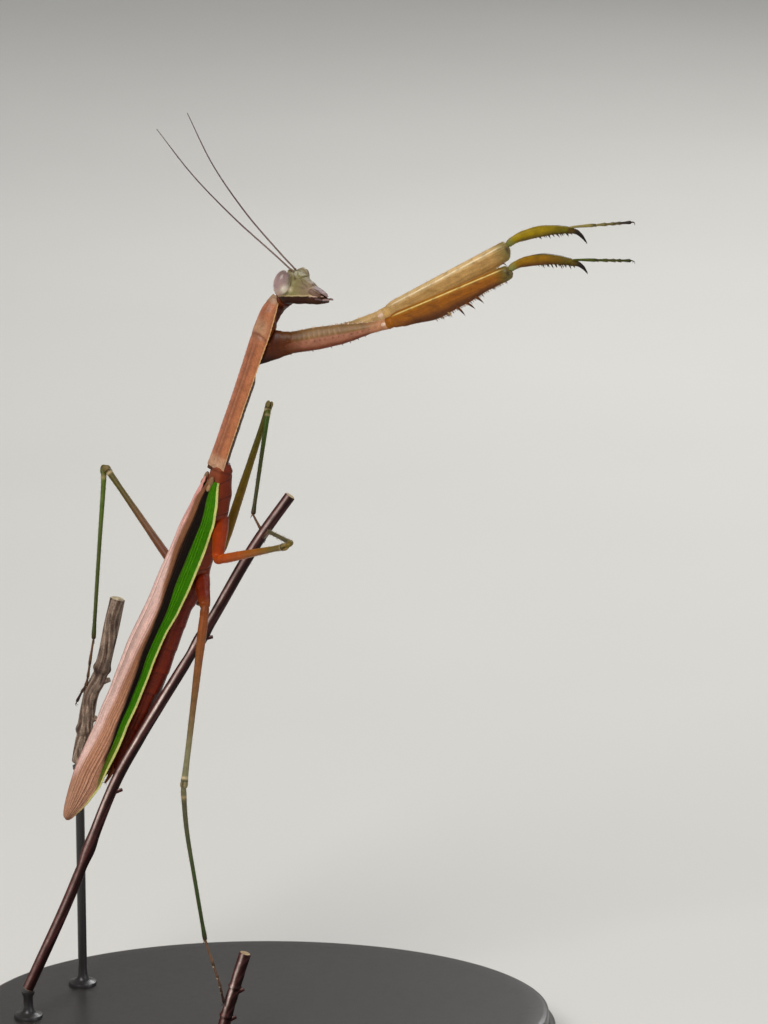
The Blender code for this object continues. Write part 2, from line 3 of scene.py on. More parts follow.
import bmesh
import bpy
import numpy as np
from numpy import cos, sin
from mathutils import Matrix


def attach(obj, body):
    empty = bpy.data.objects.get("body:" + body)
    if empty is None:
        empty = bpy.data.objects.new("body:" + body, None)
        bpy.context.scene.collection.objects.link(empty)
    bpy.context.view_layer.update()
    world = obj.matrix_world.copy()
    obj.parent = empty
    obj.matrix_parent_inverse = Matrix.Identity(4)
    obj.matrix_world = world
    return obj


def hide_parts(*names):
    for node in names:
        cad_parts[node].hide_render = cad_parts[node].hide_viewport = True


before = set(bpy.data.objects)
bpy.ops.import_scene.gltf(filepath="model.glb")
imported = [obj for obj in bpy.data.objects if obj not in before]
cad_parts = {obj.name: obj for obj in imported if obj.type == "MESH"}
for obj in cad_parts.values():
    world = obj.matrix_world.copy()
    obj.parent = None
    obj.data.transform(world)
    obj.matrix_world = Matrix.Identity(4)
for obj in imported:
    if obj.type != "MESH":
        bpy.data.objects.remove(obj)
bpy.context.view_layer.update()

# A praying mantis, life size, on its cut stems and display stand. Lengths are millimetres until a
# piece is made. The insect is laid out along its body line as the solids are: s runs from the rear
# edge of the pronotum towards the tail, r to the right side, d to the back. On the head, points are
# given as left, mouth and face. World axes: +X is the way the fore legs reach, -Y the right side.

MM = 0.001
PI = math.pi
RNG = np.random.default_rng(11)

# ---------------------------------------------------------------- named sizes, as in the solids

BODY_PITCH = 71.9
PRONOTUM_REAR = np.array((-6.75, 0.0, 94.6))
TRUNK_ROLL = 20.0
PROTHORAX_ROLL = 50.0
HEAD_CENTRE = np.array((5.15, 0.0, 124.2))
HEAD_TURN, HEAD_DIP, HEAD_LEAN = 28.9, 14.9, 7.2
EYE_SPREAD = 3.15
EYE_RADII = (1.3, 1.3, 2.06)
FOREWING_START, FOREWING_LENGTH, WING_TIP_ROUNDING = 2.0, 59.6, 7.5
HINDWING_SPAN = (12.0, 54.0)
WALKING_LEGS = {
    "mid": {"coxa": 7.2, "femur": 24.4, "tibia": 17.8, "tarsus": (4.0, 4.6)},
    "hind": {"coxa": 6.8, "femur": 27.4, "tibia": 27.1, "tarsus": (7.0, 4.2)},
}
WALKING_ROOTS = {"mid": (8.8, 1.45, -3.2), "hind": (17.5, 1.5, -2.8)}
WALKING_POSES = {
    ("mid", "right"): [(-94.2, 58.4), (35.7, 57.1), (-138.0, -78.4), (-103.0, -73.0), (-112.0, -62.0)],
    ("mid", "left"): [(-85.9, -27.9), (70.6, -13.5), (-98.7, 30.0), (-62.0, 12.0), (-122.0, 2.0)],
    ("hind", "right"): [(-77.0, 60.0), (-97.0, 20.3), (-83.8, -5.1), (-71.5, 10.7), (-79.3, -12.7)],
    ("hind", "left"): [(-84.3, -23.6), (129.9, -30.7), (-95.0, 16.6), (-99.3, 6.0), (-116.0, -5.0)],
}
HIP_OFFSET, KNEE_OFFSET, KNEE_RISE = 1.65, 1.22, 0.9
FORE_LENGTHS = {"coxa": 18.5, "femur": 22.4, "tibia": 9.6, "tarsus": 9.6}
FORE_ROOTS = {"right": (-21.1, 1.5, -1.9), "left": (-20.4, 0.5, -3.3)}
FORE_POSES = {
    "right": [(13.3, 10.4), (26.8, 16.0), (-0.1, -13.0), (-4.6, -20.0)],
    "left": [(14.6, -2.5), (27.8, -4.3), (9.4, -6.9), (5.5, 0.5)],
}
STEM_ROUTE = [(4.8, 0.0, 90.0), (-1.26, 0.0, 81.15), (-8.56, 0.3, 68.1), (-15.9, -2.6, 56.6),
    (-19.2, -3.6, 51.2), (-23.5, -4.0, 43.0), (-30.0, -4.0, 26.3), (-37.3, -4.0, 9.8)]
DRY_STEM_ROUTE = [(-23.0, 11.2, 70.1), (-25.7, 11.2, 58.2), (-27.6, 11.2, 53.5), (-29.5, 11.2, 42.7)]
TWIG_ROUTE = [(-2.4, -12.9, 19.0), (-4.7, -12.9, 11.2), (-6.3, -12.9, 5.5)]
STEM_RADIUS, DRY_STEM_RADIUS, TWIG_RADIUS = 0.9, 1.25, 0.95
STAND_HALF = (47.0, 33.0)
HAIR_RADIUS = 0.011
FOREWING_THICKNESS, HINDWING_THICKNESS = 0.16, 0.1

UP = np.array((0.0, 0.0, 1.0))
TO_VIEWER = np.array((0.0, -1.0, 0.0))


# ---------------------------------------------------------------- numbers and colours


def rgb(red, green, blue):
    """A colour as a screen shows it, 0 to 255, turned into linear light."""
    c = np.array((red, green, blue)) / 255
    return np.where(c > 0.04045, ((c + 0.055) / 1.055) ** 2.4, c / 12.92)


def unit(v):
    return v / np.linalg.norm(v, axis=-1, keepdims=True)


def ease(low, high, x):
    t = np.clip((np.asarray(x, float) - low) / (high - low), 0, 1)
    return t * t * (3 - 2 * t)


def bump(centre, width, x):
    return np.exp(-(((np.asarray(x, float) - centre) / width) ** 2))


def blend(knots, x):
    """Smooth value at x from (x, value) knots, where a value is a number or a colour."""
    x = np.asarray(x, float)
    at = np.array([k[0] for k in knots], float)
    values = np.array([k[1] for k in knots], float)
    i = np.clip(np.searchsorted(at, x) - 1, 0, len(at) - 2)
    t = np.clip((x - at[i]) / (at[i + 1] - at[i]), 0, 1)
    t = 0.35 * t + 0.65 * t * t * (3 - 2 * t)
    if values.ndim > 1:
        t = t[..., None]
    return values[i] + (values[i + 1] - values[i]) * t


def mix(a, b, share):
    """Colours a and b mixed by a share that may vary over the surface."""
    return a + (b - a) * np.asarray(share, float)[..., None]


def paint(tone, *layers):
    """Layers laid over a tone in turn, each a colour, as numbers of 0 to 255 or made already, and its share."""
    for colour, share in layers:
        tone = mix(tone, rgb(*colour) if isinstance(colour, tuple) else colour, share)
    return tone


def around(count):
    return np.linspace(0, 2 * PI, count, endpoint=False)[None, :]


def ray(a, centre, width):
    """1 towards one direction round a limb, in degrees, and fading away from it."""
    return bump(0, width, (np.degrees(a) - centre + 180) % 360 - 180)


def squared(x, power):
    """x to a power, with its sign kept, which squares off an oval."""
    return np.sign(x) * np.abs(x) ** power


def stacked(*parts):
    return np.stack(np.broadcast_arrays(*parts), -1)


# ---------------------------------------------------------------- directions and paths


def direction(pitch, out):
    """Unit vector: pitch from +X up towards +Z, then turned out towards the right side."""
    pitch, out = math.radians(pitch), math.radians(out)
    return np.array((math.cos(pitch) * math.cos(out), -math.sin(out), math.sin(pitch) * math.cos(out)))


def body_axes(roll):
    forward = direction(BODY_PITCH, 0)
    back = np.array((-forward[2], 0, forward[0]))
    right = np.array((0.0, -1.0, 0.0))
    turn = math.radians(roll)
    return (forward, right * math.cos(turn) - back * math.sin(turn),
        back * math.cos(turn) + right * math.sin(turn))


def body_at(s, r, d, roll=TRUNK_ROLL):
    forward, right, back = body_axes(roll)
    s, r, d = (np.asarray(v, float)[..., None] for v in (s, r, d))
    return PRONOTUM_REAR - forward * s + right * r + back * d


def head_axes():
    turn, dip, lean = (math.radians(angle) for angle in (HEAD_TURN, HEAD_DIP, HEAD_LEAN))
    level = np.array((math.sin(turn), math.cos(turn), 0))
    mouth = np.array((math.cos(turn) * math.cos(dip), -math.sin(turn) * math.cos(dip), -math.sin(dip)))
    left = level * math.cos(lean) - np.cross(mouth, level) * math.sin(lean)
    return left, mouth, np.cross(mouth, left)


def head_at(left, mouth, face):
    left, mouth, face = (np.asarray(v, float)[..., None] for v in (left, mouth, face))
    axes = head_axes()
    return HEAD_CENTRE + axes[0] * left + axes[1] * mouth + axes[2] * face


def spline(points, steps=12):
    """Points of a Catmull-Rom curve through the given points."""
    p = np.array(points, float)
    ends = np.vstack([p[0] * 2 - p[1], p, p[-1] * 2 - p[-2]])
    t = (np.arange(steps) / steps)[:, None]
    spans = []
    for a, b, c, d in zip(ends, ends[1:], ends[2:], ends[3:]):
        spans.append(0.5 * (b * 2 + (c - a) * t + (a * 2 - b * 5 + c * 4 - d) * t**2
            + (b * 3 - a - c * 3 + d) * t**3))
    return np.vstack(spans + [p[-1:]])


def resample(path, step, tips):
    """Points along a path at even steps, closer together where its ends are rounded."""
    run = np.concatenate([[0], np.cumsum(np.linalg.norm(np.diff(path, axis=0), axis=1))])
    length = run[-1]
    at = [np.linspace(0, length, max(3, int(length / step) + 1))]
    curve = 1 - cos(np.linspace(0, PI / 2, 7))
    if tips[0]:
        at.append(curve * tips[0])
    if tips[1]:
        at.append(length - curve * tips[1])
    at = np.unique(np.clip(np.round(np.concatenate(at), 4), 0, length))
    return np.stack([np.interp(at, run, path[:, k]) for k in range(3)], 1), at, length


# ---------------------------------------------------------------- pieces


class Shape:
    """Surfaces gathered up and then made into one named piece."""

    def __init__(self):
        self.points, self.tints, self.grains, self.faces = [], [], [], []
        self.size = 0

    def add(self, points, tint, faces, grain=None):
        points = np.asarray(points, float).reshape(-1, 3)
        self.points.append(points)
        self.tints.append(np.broadcast_to(tint, points.shape) if np.ndim(tint) < 2
            else np.asarray(tint, float).reshape(-1, 3))
        self.grains.append(points if grain is None else np.asarray(grain, float).reshape(-1, 3))
        self.faces += [[i + self.size for i in face] for face in faces]
        self.size += len(points)

    def grid(self, points, tint, grain=None, closed=True, caps=True):
        """A net of points, closed round its rows for a limb or open for a sheet."""
        rows, columns = points.shape[:2]
        tint = np.broadcast_to(tint, points.shape)
        index = np.arange(rows * columns).reshape(rows, columns)
        ahead = np.roll(index, -1, axis=1) if closed else index[:, 1:]
        here = index if closed else index[:, :-1]
        faces = np.stack([here[:-1], ahead[:-1], ahead[1:], here[1:]], -1).reshape(-1, 4).tolist()
        if grain is None:
            grain = points
        if closed and caps:
            ends = np.stack([points[0].mean(0), points[-1].mean(0)])
            for end, row in ((0, index[0]), (1, index[-1])):
                faces += [[a, b, rows * columns + end] for a, b in zip(row, np.roll(row, -1))]
            flat_tint = np.vstack([tint.reshape(-1, 3), tint[0].mean(0), tint[-1].mean(0)])
            flat_grain = np.vstack([grain.reshape(-1, 3), grain[0].mean(0), grain[-1].mean(0)])
            self.add(np.vstack([points.reshape(-1, 3), ends]), flat_tint, faces, flat_grain)
        else:
            self.add(points, tint.reshape(-1, 3), faces, grain)

    def piece(self, name, material, slot, *nodes, sharp=50):
        mesh = bpy.data.meshes.new(name)
        mesh.from_pydata((np.vstack(self.points) * MM).tolist(), [], self.faces)
        bm = bmesh.new()
        bm.from_mesh(mesh)
        bmesh.ops.recalc_face_normals(bm, faces=bm.faces)
        bm.to_mesh(mesh)
        bm.free()
        tint = mesh.attributes.new("tint", "FLOAT_COLOR", "POINT")
        colours = np.hstack([np.vstack(self.tints), np.ones((self.size, 1))])
        tint.data.foreach_set("color", colours.astype(np.float32).ravel())
        grain = mesh.attributes.new("grain", "FLOAT_VECTOR", "POINT")
        grain.data.foreach_set("vector", np.vstack(self.grains).astype(np.float32).ravel())
        mesh.shade_smooth()
        mesh.set_sharp_from_angle(angle=math.radians(sharp))
        mesh.materials.append(material)
        item = bpy.data.objects.new(name, mesh)
        bpy.context.scene.collection.objects.link(item)
        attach(item, "root")
        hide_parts(*nodes)
        return item


def tube(shape, path, radius, tint, up, sides, step, flat=1.0, section=None, tips=(0, 0), outline=None):
    """A limb along a path. radius is knots of (share of length, mm). tint, section (a scale) and
    outline (the two half sizes in mm) may be functions of that share t and of the angle a, which
    is 0 beside, 90 above and 180 beyond."""
    path, run, length = resample(np.asarray(path, float), step, tips)
    t, a = (run / length)[:, None], around(sides)
    along = unit(np.gradient(path, axis=0))
    side = unit(np.cross(along, up))
    over = np.cross(side, along)
    r = np.broadcast_to(blend(radius, t) if np.ndim(radius) else radius, t.shape).copy()
    for tip, distance in ((tips[0], run), (tips[1], length - run)):
        if tip:
            near = np.clip(1 - distance / tip, 0, 0.9995)[:, None]
            r *= np.sqrt(1 - near**2)
    scale = r * (section(t, a) if section else 1)
    x, y = outline(t, a) if outline else (cos(a), sin(a) * flat)
    points = path[:, None] + side[:, None] * (x * scale)[..., None] + over[:, None] * (y * scale)[..., None]
    colour = tint(t, a) if callable(tint) else tint
    grain = stacked(run[:, None], a * r.mean(), 0 * a)
    shape.grid(points, colour, grain)
    return points


def thorn(shape, root, tip, radius, foot, point, sag=(0, 0, 0), sides=8, rings=6):
    """A spine or claw from root to tip, pulled aside in its middle by sag."""
    t = np.linspace(0, 1, rings)[:, None]
    path = root + (tip - root) * t + np.asarray(sag, float) * (4 * t * (1 - t))
    up = UP if abs(unit(tip - root)[2]) < 0.9 else TO_VIEWER
    colour = lambda t, a: mix(foot, point, ease(0.25, 0.75, t))
    step = float(np.linalg.norm(tip - root)) / rings
    tube(shape, path, [(0, radius), (0.5, radius * 0.62), (1, radius * 0.06)], colour, up, sides, step)


def blob(shape, centre, axes, radii, tint, rows=14, sides=20):
    """An egg-shaped swelling; axes are three directions."""
    v = np.linspace(0.02, PI - 0.02, rows)[:, None]
    u = around(sides)
    parts = (cos(v), sin(v) * cos(u), sin(v) * sin(u))
    points = centre + sum(p[..., None] * axis * radius for p, axis, radius in zip(parts, axes, radii))
    shape.grid(points, tint)


def hairs(shape, points, count, length, tint, lean, share=(0.0, 1.0), radius=HAIR_RADIUS):
    """Fine bristles over a limb's net of points, each a thin three-sided cone leaning along it."""
    rows, columns = points.shape[:2]
    middle = points.mean(1)
    along = unit(np.gradient(middle, axis=0))
    i = RNG.integers(int(rows * share[0]), max(int(rows * share[1]) - 1, 1), count)
    j = RNG.integers(0, columns, count)
    root = points[i, j]
    out = unit(root - middle[i])
    size = length * RNG.uniform(0.6, 1.2, count)[:, None]
    tip = root + unit(out + along[i] * lean) * size
    side = unit(np.cross(tip - root, out + 0.3))
    other = unit(np.cross(tip - root, side))
    root = root - out * radius
    ring = [root + side * radius, root - side * radius * 0.5 + other * radius * 0.87,
        root - side * radius * 0.5 - other * radius * 0.87, tip]
    net = np.stack(ring, 1)
    faces = []
    for k in range(count):
        b = 4 * k
        faces += [[b, b + 1, b + 3], [b + 1, b + 2, b + 3], [b + 2, b, b + 3], [b, b + 2, b + 1]]
    shape.add(net, tint, faces)


# ---------------------------------------------------------------- materials


def add(tree, kind, sockets=(), **settings):
    """One shader node, with its settings and its sockets linked or given a value."""
    item = tree.nodes.new("ShaderNode" + kind)
    for key, value in settings.items():
        setattr(item, key, value)
    for socket, value in dict(sockets).items():
        if isinstance(value, bpy.types.NodeSocket):
            tree.links.new(value, item.inputs[socket])
        else:
            item.inputs[socket].default_value = value
    return item


def multiply(tree, colour, by):
    item = add(tree, "Mix", data_type="RGBA", blend_type="MULTIPLY")
    item.inputs[0].default_value = 1.0
    tree.links.new(colour, item.inputs[6])
    tree.links.new(by, item.inputs[7])
    return item.outputs[2]


def ramp(tree, value, *stops):
    item = add(tree, "ValToRGB", {"Fac": value})
    elements = item.color_ramp.elements
    while len(elements) < len(stops):
        elements.new(0.5)
    for element, (at, level) in zip(elements, stops):
        element.position = at
        element.color = (*np.broadcast_to(level, 3), 1)
    return item.outputs[0]


def cuticle(name, rough=0.42, cloud=0.25, grain=0.25, relief=0.035, gloss=0.12, soft=0.06, lines=0.0, cells=0.0,
        facets=0.0, vivid=1.05, shine=0.3):
    """Insect shell: the piece's own tint, clouded and finely grained, over a slightly uneven surface."""
    material = bpy.data.materials.new(name)
    material.use_nodes = True
    tree = material.node_tree
    shader = tree.nodes["Principled BSDF"]
    place = add(tree, "TexCoord").outputs["Object"]
    along = add(tree, "Attribute", attribute_name="grain").outputs["Vector"]
    tint = add(tree, "Attribute", attribute_name="tint").outputs["Color"]
    tint = add(tree, "HueSaturation", {"Color": tint, "Saturation": vivid}).outputs[0]
    wide = add(tree, "TexNoise", {"Vector": place, "Scale": 900.0, "Detail": 5.0, "Roughness": 0.6})
    fine = add(tree, "TexNoise", {"Vector": place, "Scale": 5200.0, "Detail": 3.0, "Roughness": 0.65})
    colour = multiply(tree, tint, ramp(tree, wide.outputs[0], (0.3, 1 - cloud), (0.7, 1 + cloud * 0.5)))
    colour = multiply(tree, colour, ramp(tree, fine.outputs[0], (0.3, 1 - grain), (0.68, 1 + grain * 0.5)))
    height = fine.outputs[0]
    if lines:
        streak = add(tree, "Mapping", {"Vector": along, "Scale": (0.35, 7.0, 7.0)})
        streak = add(tree, "TexNoise", {"Vector": streak.outputs[0], "Scale": 1.0, "Detail": 3.0})
        colour = multiply(tree, colour, ramp(tree, streak.outputs[0], (0.35, 1 - lines),
            (0.62, 1 + lines * 0.4)))
        height = add(tree, "Math", {0: height, 1: streak.outputs[0]}, operation="ADD").outputs[0]
    if cells:
        net = add(tree, "Mapping", {"Vector": along, "Scale": (1.2, 3.4, 1.0)})
        net = add(tree, "TexVoronoi", {"Vector": net.outputs[0], "Scale": 1.0}, feature="DISTANCE_TO_EDGE")
        edge = ramp(tree, net.outputs["Distance"], (0.02, 0.0), (0.14, 1.0))
        colour = multiply(tree, colour, ramp(tree, edge, (0.0, 1 - cells), (1.0, 1.05)))
        height = add(tree, "Math", {0: edge, 1: -1.2, 2: height}, operation="MULTIPLY_ADD").outputs[0]
    if facets:
        comb = add(tree, "TexVoronoi", {"Vector": place, "Scale": 1000 / facets})
        height = add(tree, "Math", {0: comb.outputs["Distance"], 1: -1.5, 2: 1.0},
            operation="MULTIPLY_ADD").outputs[0]
        colour = multiply(tree, colour, ramp(tree, comb.outputs["Distance"], (0.1, 1.06), (0.7, 0.72)))
    tree.links.new(colour, shader.inputs["Base Color"])
    wear = add(tree, "MapRange", {"Value": wide.outputs[0], "To Min": rough - 0.08, "To Max": rough + 0.12})
    tree.links.new(wear.outputs[0], shader.inputs["Roughness"])
    dent = add(tree, "Bump", {"Height": height, "Strength": 0.55, "Distance": relief * MM})
    tree.links.new(dent.outputs[0], shader.inputs["Normal"])
    shader.inputs["Coat Weight"].default_value = gloss
    shader.inputs["Coat Roughness"].default_value = 0.3
    shader.inputs["Specular IOR Level"].default_value = shine
    if soft:
        shader.inputs["Subsurface Weight"].default_value = soft
        shader.inputs["Subsurface Radius"].default_value = (1.0, 0.5, 0.3)
        shader.inputs["Subsurface Scale"].default_value = 0.0006
    return material


SHELL = cuticle("shell", vivid=1.0)
HEAD_SHELL = cuticle("head_shell", rough=0.52, cloud=0.16, grain=0.2, relief=0.02, gloss=0.05, shine=0.2)
LEG_SHELL = cuticle("leg_shell", rough=0.42, cloud=0.26, grain=0.2, gloss=0.06, vivid=1.1, shine=0.18)
LIMB = cuticle("limb", rough=0.42, cloud=0.2, grain=0.18, gloss=0.14, lines=0.2, vivid=1.08, shine=0.22)
FEELER = cuticle("feeler", rough=0.5, gloss=0.1, soft=0)
EYE = cuticle("eye", vivid=1.0, rough=0.24, cloud=0.12, grain=0.06, relief=0.012, gloss=0.4, soft=0.12,
    facets=0.055)
WING = cuticle("wing", rough=0.5, cloud=0.14, grain=0.12, relief=0.05, gloss=0.0, vivid=1.0, soft=0.03,
    lines=0.16, cells=0.12, shine=0.08)
BARK = cuticle("bark", rough=0.55, cloud=0.35, grain=0.35, relief=0.1, gloss=0.03, soft=0, lines=0.35,
    shine=0.15)
DRY_BARK = cuticle("dry_bark", vivid=1.0, rough=0.75, cloud=0.5, grain=0.45, relief=0.16, gloss=0.0, soft=0,
    lines=0.45)
STAND = cuticle("stand", vivid=1.0, rough=0.34, cloud=0.12, grain=0.12, relief=0.02, gloss=0.3, soft=0)

# ---------------------------------------------------------------- head

OLIVE = rgb(134, 124, 84)
HEAD_LOW = rgb(146, 134, 92)
CREAM = rgb(206, 184, 142)
LILAC = rgb(134, 112, 112)
# the dark red-brown under the head, darkened as painted shade
SHADED_UNDERSIDE = rgb(50, 16, 0)
FACE_WIDTH = [(-2.25, 0.5), (-2.05, 1.5), (-1.3, 2.5), (-0.2, 2.8), (0.8, 2.85), (1.6, 2.65), (3.0, 2.0),
    (4.6, 1.35), (5.6, 1.0)]
FACE_FRONT = [(-2.25, 0.2), (-2.0, 0.65), (-1.0, 1.42), (0.2, 1.78), (1.6, 1.66), (3.0, 1.12), (4.6, 0.72),
    (5.6, 0.42)]
FACE_REAR = [(-2.25, 0.2), (-2.0, 1.0), (-1.2, 2.3), (-0.3, 3.1), (0.5, 3.42), (2.2, 2.82), (3.9, 2.2),
    (5.6, 1.58)]
RIM_LINE = [(-2.2, -1.3), (-1.2, -2.3), (-0.5, -2.47), (0.8, -1.95), (1.6, -1.66), (3.0, -1.18), (4.6, -0.61),
    (5.6, -0.26)]


def head_shell():
    shape = Shape()
    m = np.concatenate([[-2.25, -2.22, -2.16, -2.08], np.linspace(-1.98, 5.6, 120)])[:, None]
    a = around(176)
    c, s = cos(a), sin(a)
    width = blend(FACE_WIDTH, m)
    # rounded in front, squarer behind
    left = np.sign(c) * np.abs(c) ** np.where(s > 0, 0.92, 0.62) * width
    face = np.sign(s) * np.where(s > 0, np.abs(s) ** 0.86 * blend(FACE_FRONT, m),
        np.abs(s) ** 0.72 * blend(FACE_REAR, m))
    front = ease(-0.1, 0.5, s)
    across = np.abs(left)
    groove = lambda at, size, value: -size * bump(at, 0.1, value)
    # two grooves down the crown, one beside each eye, and the raised seat of the three simple eyes
    face = face + front * ease(0.3, -0.6, m) * (groove(0.5, 0.1, across) + groove(1.35, 0.09, across))
    face = face + front * 0.24 * bump(0, 0.62, left) * bump(-0.62, 0.42, m)
    # hollows for the two feelers, each in a raised ring
    socket = np.hypot(across - 0.65, m)
    face = face + front * (0.06 * bump(0.42, 0.12, socket) - 0.16 * bump(0, 0.26, socket))
    # the frontal shield, pointed above, with its seam to the clypeus, and the clypeus' cross fold
    top = 0.55 + 0.55 * across
    shield = ease(0, 0.12, m - top) * ease(0, 0.12, 1.95 - m) * ease(0, 0.12, 1.15 - across)
    face = face + front * (0.12 * shield + groove(2.0, 0.13, m) * ease(1.5, 1.2, across))
    face = face + front * 0.1 * ease(2.1, 2.3, m) * ease(3.9, 3.6, m) * ease(1.3, 1.0, across + 0.15 * (m - 2))
    face = face + front * (groove(2.95, 0.05, m) + groove(4.0, 0.1, m)) * ease(1.3, 1.0, across)
    # cheeks: the seam under the eye and the one above the jaw
    seam = bump(0, 0.1, across - (1.25 + 0.3 * ease(1, 3, m))) * ease(1.3, 1.9, m)
    face = face - front * 0.09 * seam
    rim = blend(RIM_LINE, m)
    below = ease(rim + 0.05, rim - 0.12, face)
    ridge = bump(rim, 0.11, face)
    left = left + c * (0.08 * ridge - 0.2 * below)
    face = face + 0.04 * ridge
    points = head_at(left, m, face)
    tone = paint(OLIVE,
        (HEAD_LOW, ease(0.6, -1.2, face)),
        ((140, 116, 92), ease(1.6, 3.6, m) * 0.75),
        ((112, 98, 62), ease(-0.9, -1.9, m) * 0.5),
        ((96, 78, 46), front * 0.7 * bump(0.1, 0.35, socket)),
        ((88, 70, 60), front * 0.6 * seam),
        ((92, 78, 66), 0.75 * bump(3.05, 0.45, m) * bump(0.25, 0.16, face)),
        ((172, 146, 132), 0.6 * bump(4.2, 0.6, m) * bump(0.35, 0.3, face)),
        ((78, 50, 62), front * 0.8 * ease(2.6, 3.6, m) * bump(0.35, 0.12, across)))
    # the dark line that runs down the face from each feeler, to a spot at its end
    run = (m - 0.1) / 1.35
    streak = bump(0.8 + 1.3 * run, 0.2, across) * ease(-0.1, 0.2, run) * ease(1.12, 0.92, run)
    tone = paint(tone,
        ((88, 68, 30), front * 0.6 * streak),
        ((58, 38, 12), front * 0.75 * bump(2.05, 0.24, across) * bump(1.42, 0.22, m)),
        # a painted highlight on the face beside the lower front of each eye, and the face is greener towards the
        # rim
        ((122, 122, 62), 0.45 * bump(1.7, 1.0, m) * bump(-1.1, 0.5, face)),
        ((250, 232, 196), 0.9 * bump(2.75, 0.4, across) * bump(1.3, 0.42, m) * bump(-0.55, 0.42, face)),
        (CREAM, 0.9 * bump(rim + 0.06, 0.16, face) * ease(-1.6, -0.6, m)),
        # painted shade over the underside of the head, below the rim
        (SHADED_UNDERSIDE, below))
    shape.grid(points, tone, stacked(m, left, face))
    shape.piece("head_shell", HEAD_SHELL, "head_olive", "head", sharp=60)


def head_path(side, *stops):
    return spline([head_at(side * left, mouth, face) for left, mouth, face in stops])


def mouth_parts():
    """Upper lip, jaws and jointed feelers of the mouth, at the tip of the face."""
    face = head_axes()[2]
    lip = Shape()
    m, a = np.linspace(4.0, 6.7, 34)[:, None], around(40)
    half = blend([(4.0, 0.9), (4.5, 1.05), (5.4, 0.92), (6.2, 0.62), (6.7, 0.2)], m)
    top = blend([(4.0, 0.8), (5.0, 0.66), (6.0, 0.42), (6.7, 0.06)], m)
    deep = 0.3 * np.sqrt(np.clip((6.75 - m) / 2.75, 0.02, 1))
    l = cos(a) * half
    f = top - deep + sin(a) * deep + 0.06 * bump(0, 0.14, l) * (sin(a) > 0)
    tone = paint(LILAC,
        ((146, 122, 118), ease(5.2, 6.4, m)),
        ((82, 56, 62), 0.8 * bump(half, 0.12, np.abs(l)) * ease(5.9, 4.8, m)))
    lip.grid(head_at(l, m, f), tone)
    lip.piece("labrum", HEAD_SHELL, "head_olive", "head")
    jaws = Shape()
    jaw_tint = lambda t, a: mix(rgb(120, 96, 82), rgb(72, 40, 24), ease(0.45, 0.9, t))
    for side in (-1, 1):
        path = head_path(side, (1.1, 3.3, 0.1), (1.12, 4.4, 0.0), (0.85, 5.5, -0.2), (0.3, 6.5, -0.35))
        tube(jaws, path, [(0, 0.4), (0.35, 0.48), (0.7, 0.36), (1, 0.12)], jaw_tint, face, 20, 0.15,
            tips=(0.3, 0.2))
        # the outer lobe behind each jaw, painted dark as shade under the head
        path = head_path(side, (0.85, 3.4, -1.3), (0.8, 4.8, -1.05), (0.4, 6.5, -0.78))
        tube(jaws, path, [(0, 0.55), (0.5, 0.6), (1, 0.3)], rgb(58, 30, 14), face, 18, 0.15, tips=(0.3, 0.25))
    # the lower lip under the head, in the dark painted shade of the underside
    path = head_path(1, (0, 2.4, -2.0), (0, 4.4, -1.35), (0, 6.8, -0.7))
    tube(jaws, path, [(0, 0.8), (0.6, 0.85), (1, 0.42)], SHADED_UNDERSIDE, face, 22, 0.18, flat=0.8, tips=(0.4, 0.4))
    for side in (-1, 1):
        # the pale lower edge of the cheek runs on beside the jaw
        path = head_path(side, (1.42, 4.2, -0.78), (1.12, 5.3, -0.38), (0.72, 6.3, -0.04))
        tube(jaws, path, [(0, 0.1), (0.5, 0.17), (1, 0.08)], rgb(184, 154, 138), face, 12, 0.1, tips=(0.1, 0.1))
    jaws.piece("jaws", LEG_SHELL, "head_olive", "head")
    palps = Shape()
    for side in (-1, 1):
        outer = ((1.2, 4.3, -0.8), (1.3, 5.2, -0.85), (1.05, 6.4, -0.6), (0.6, 7.4, -0.25))
        route = [head_at(side * l, m, f) for l, m, f in outer]
        for k, (a, b) in enumerate(zip(route, route[1:])):
            tone = mix(rgb(62, 26, 10), rgb(150, 128, 124), (0.0, 0.22, 0.85)[k])
            tube(palps, spline([a, (a + b) / 2 + face * 0.06, b]), [(0, 0.15), (0.5, 0.2 - 0.012 * k),
                (1, 0.15)], tone, face, 14, 0.12, tips=(0.14, 0.16))
        # the inner feelers, painted dark as shade under the head
        inner = ((0.5, 5.2, -1.45), (0.7, 6.1, -1.2), (0.5, 6.9, -0.75))
        route = [head_at(side * l, m, f) for l, m, f in inner]
        for a, b in zip(route, route[1:]):
            tube(palps, spline([a, (a + b) / 2, b]), [(0, 0.13), (0.5, 0.17), (1, 0.13)], rgb(60, 32, 18), face,
                12, 0.12, tips=(0.12, 0.14))
    palps.piece("palps", HEAD_SHELL, "head_olive", "head")


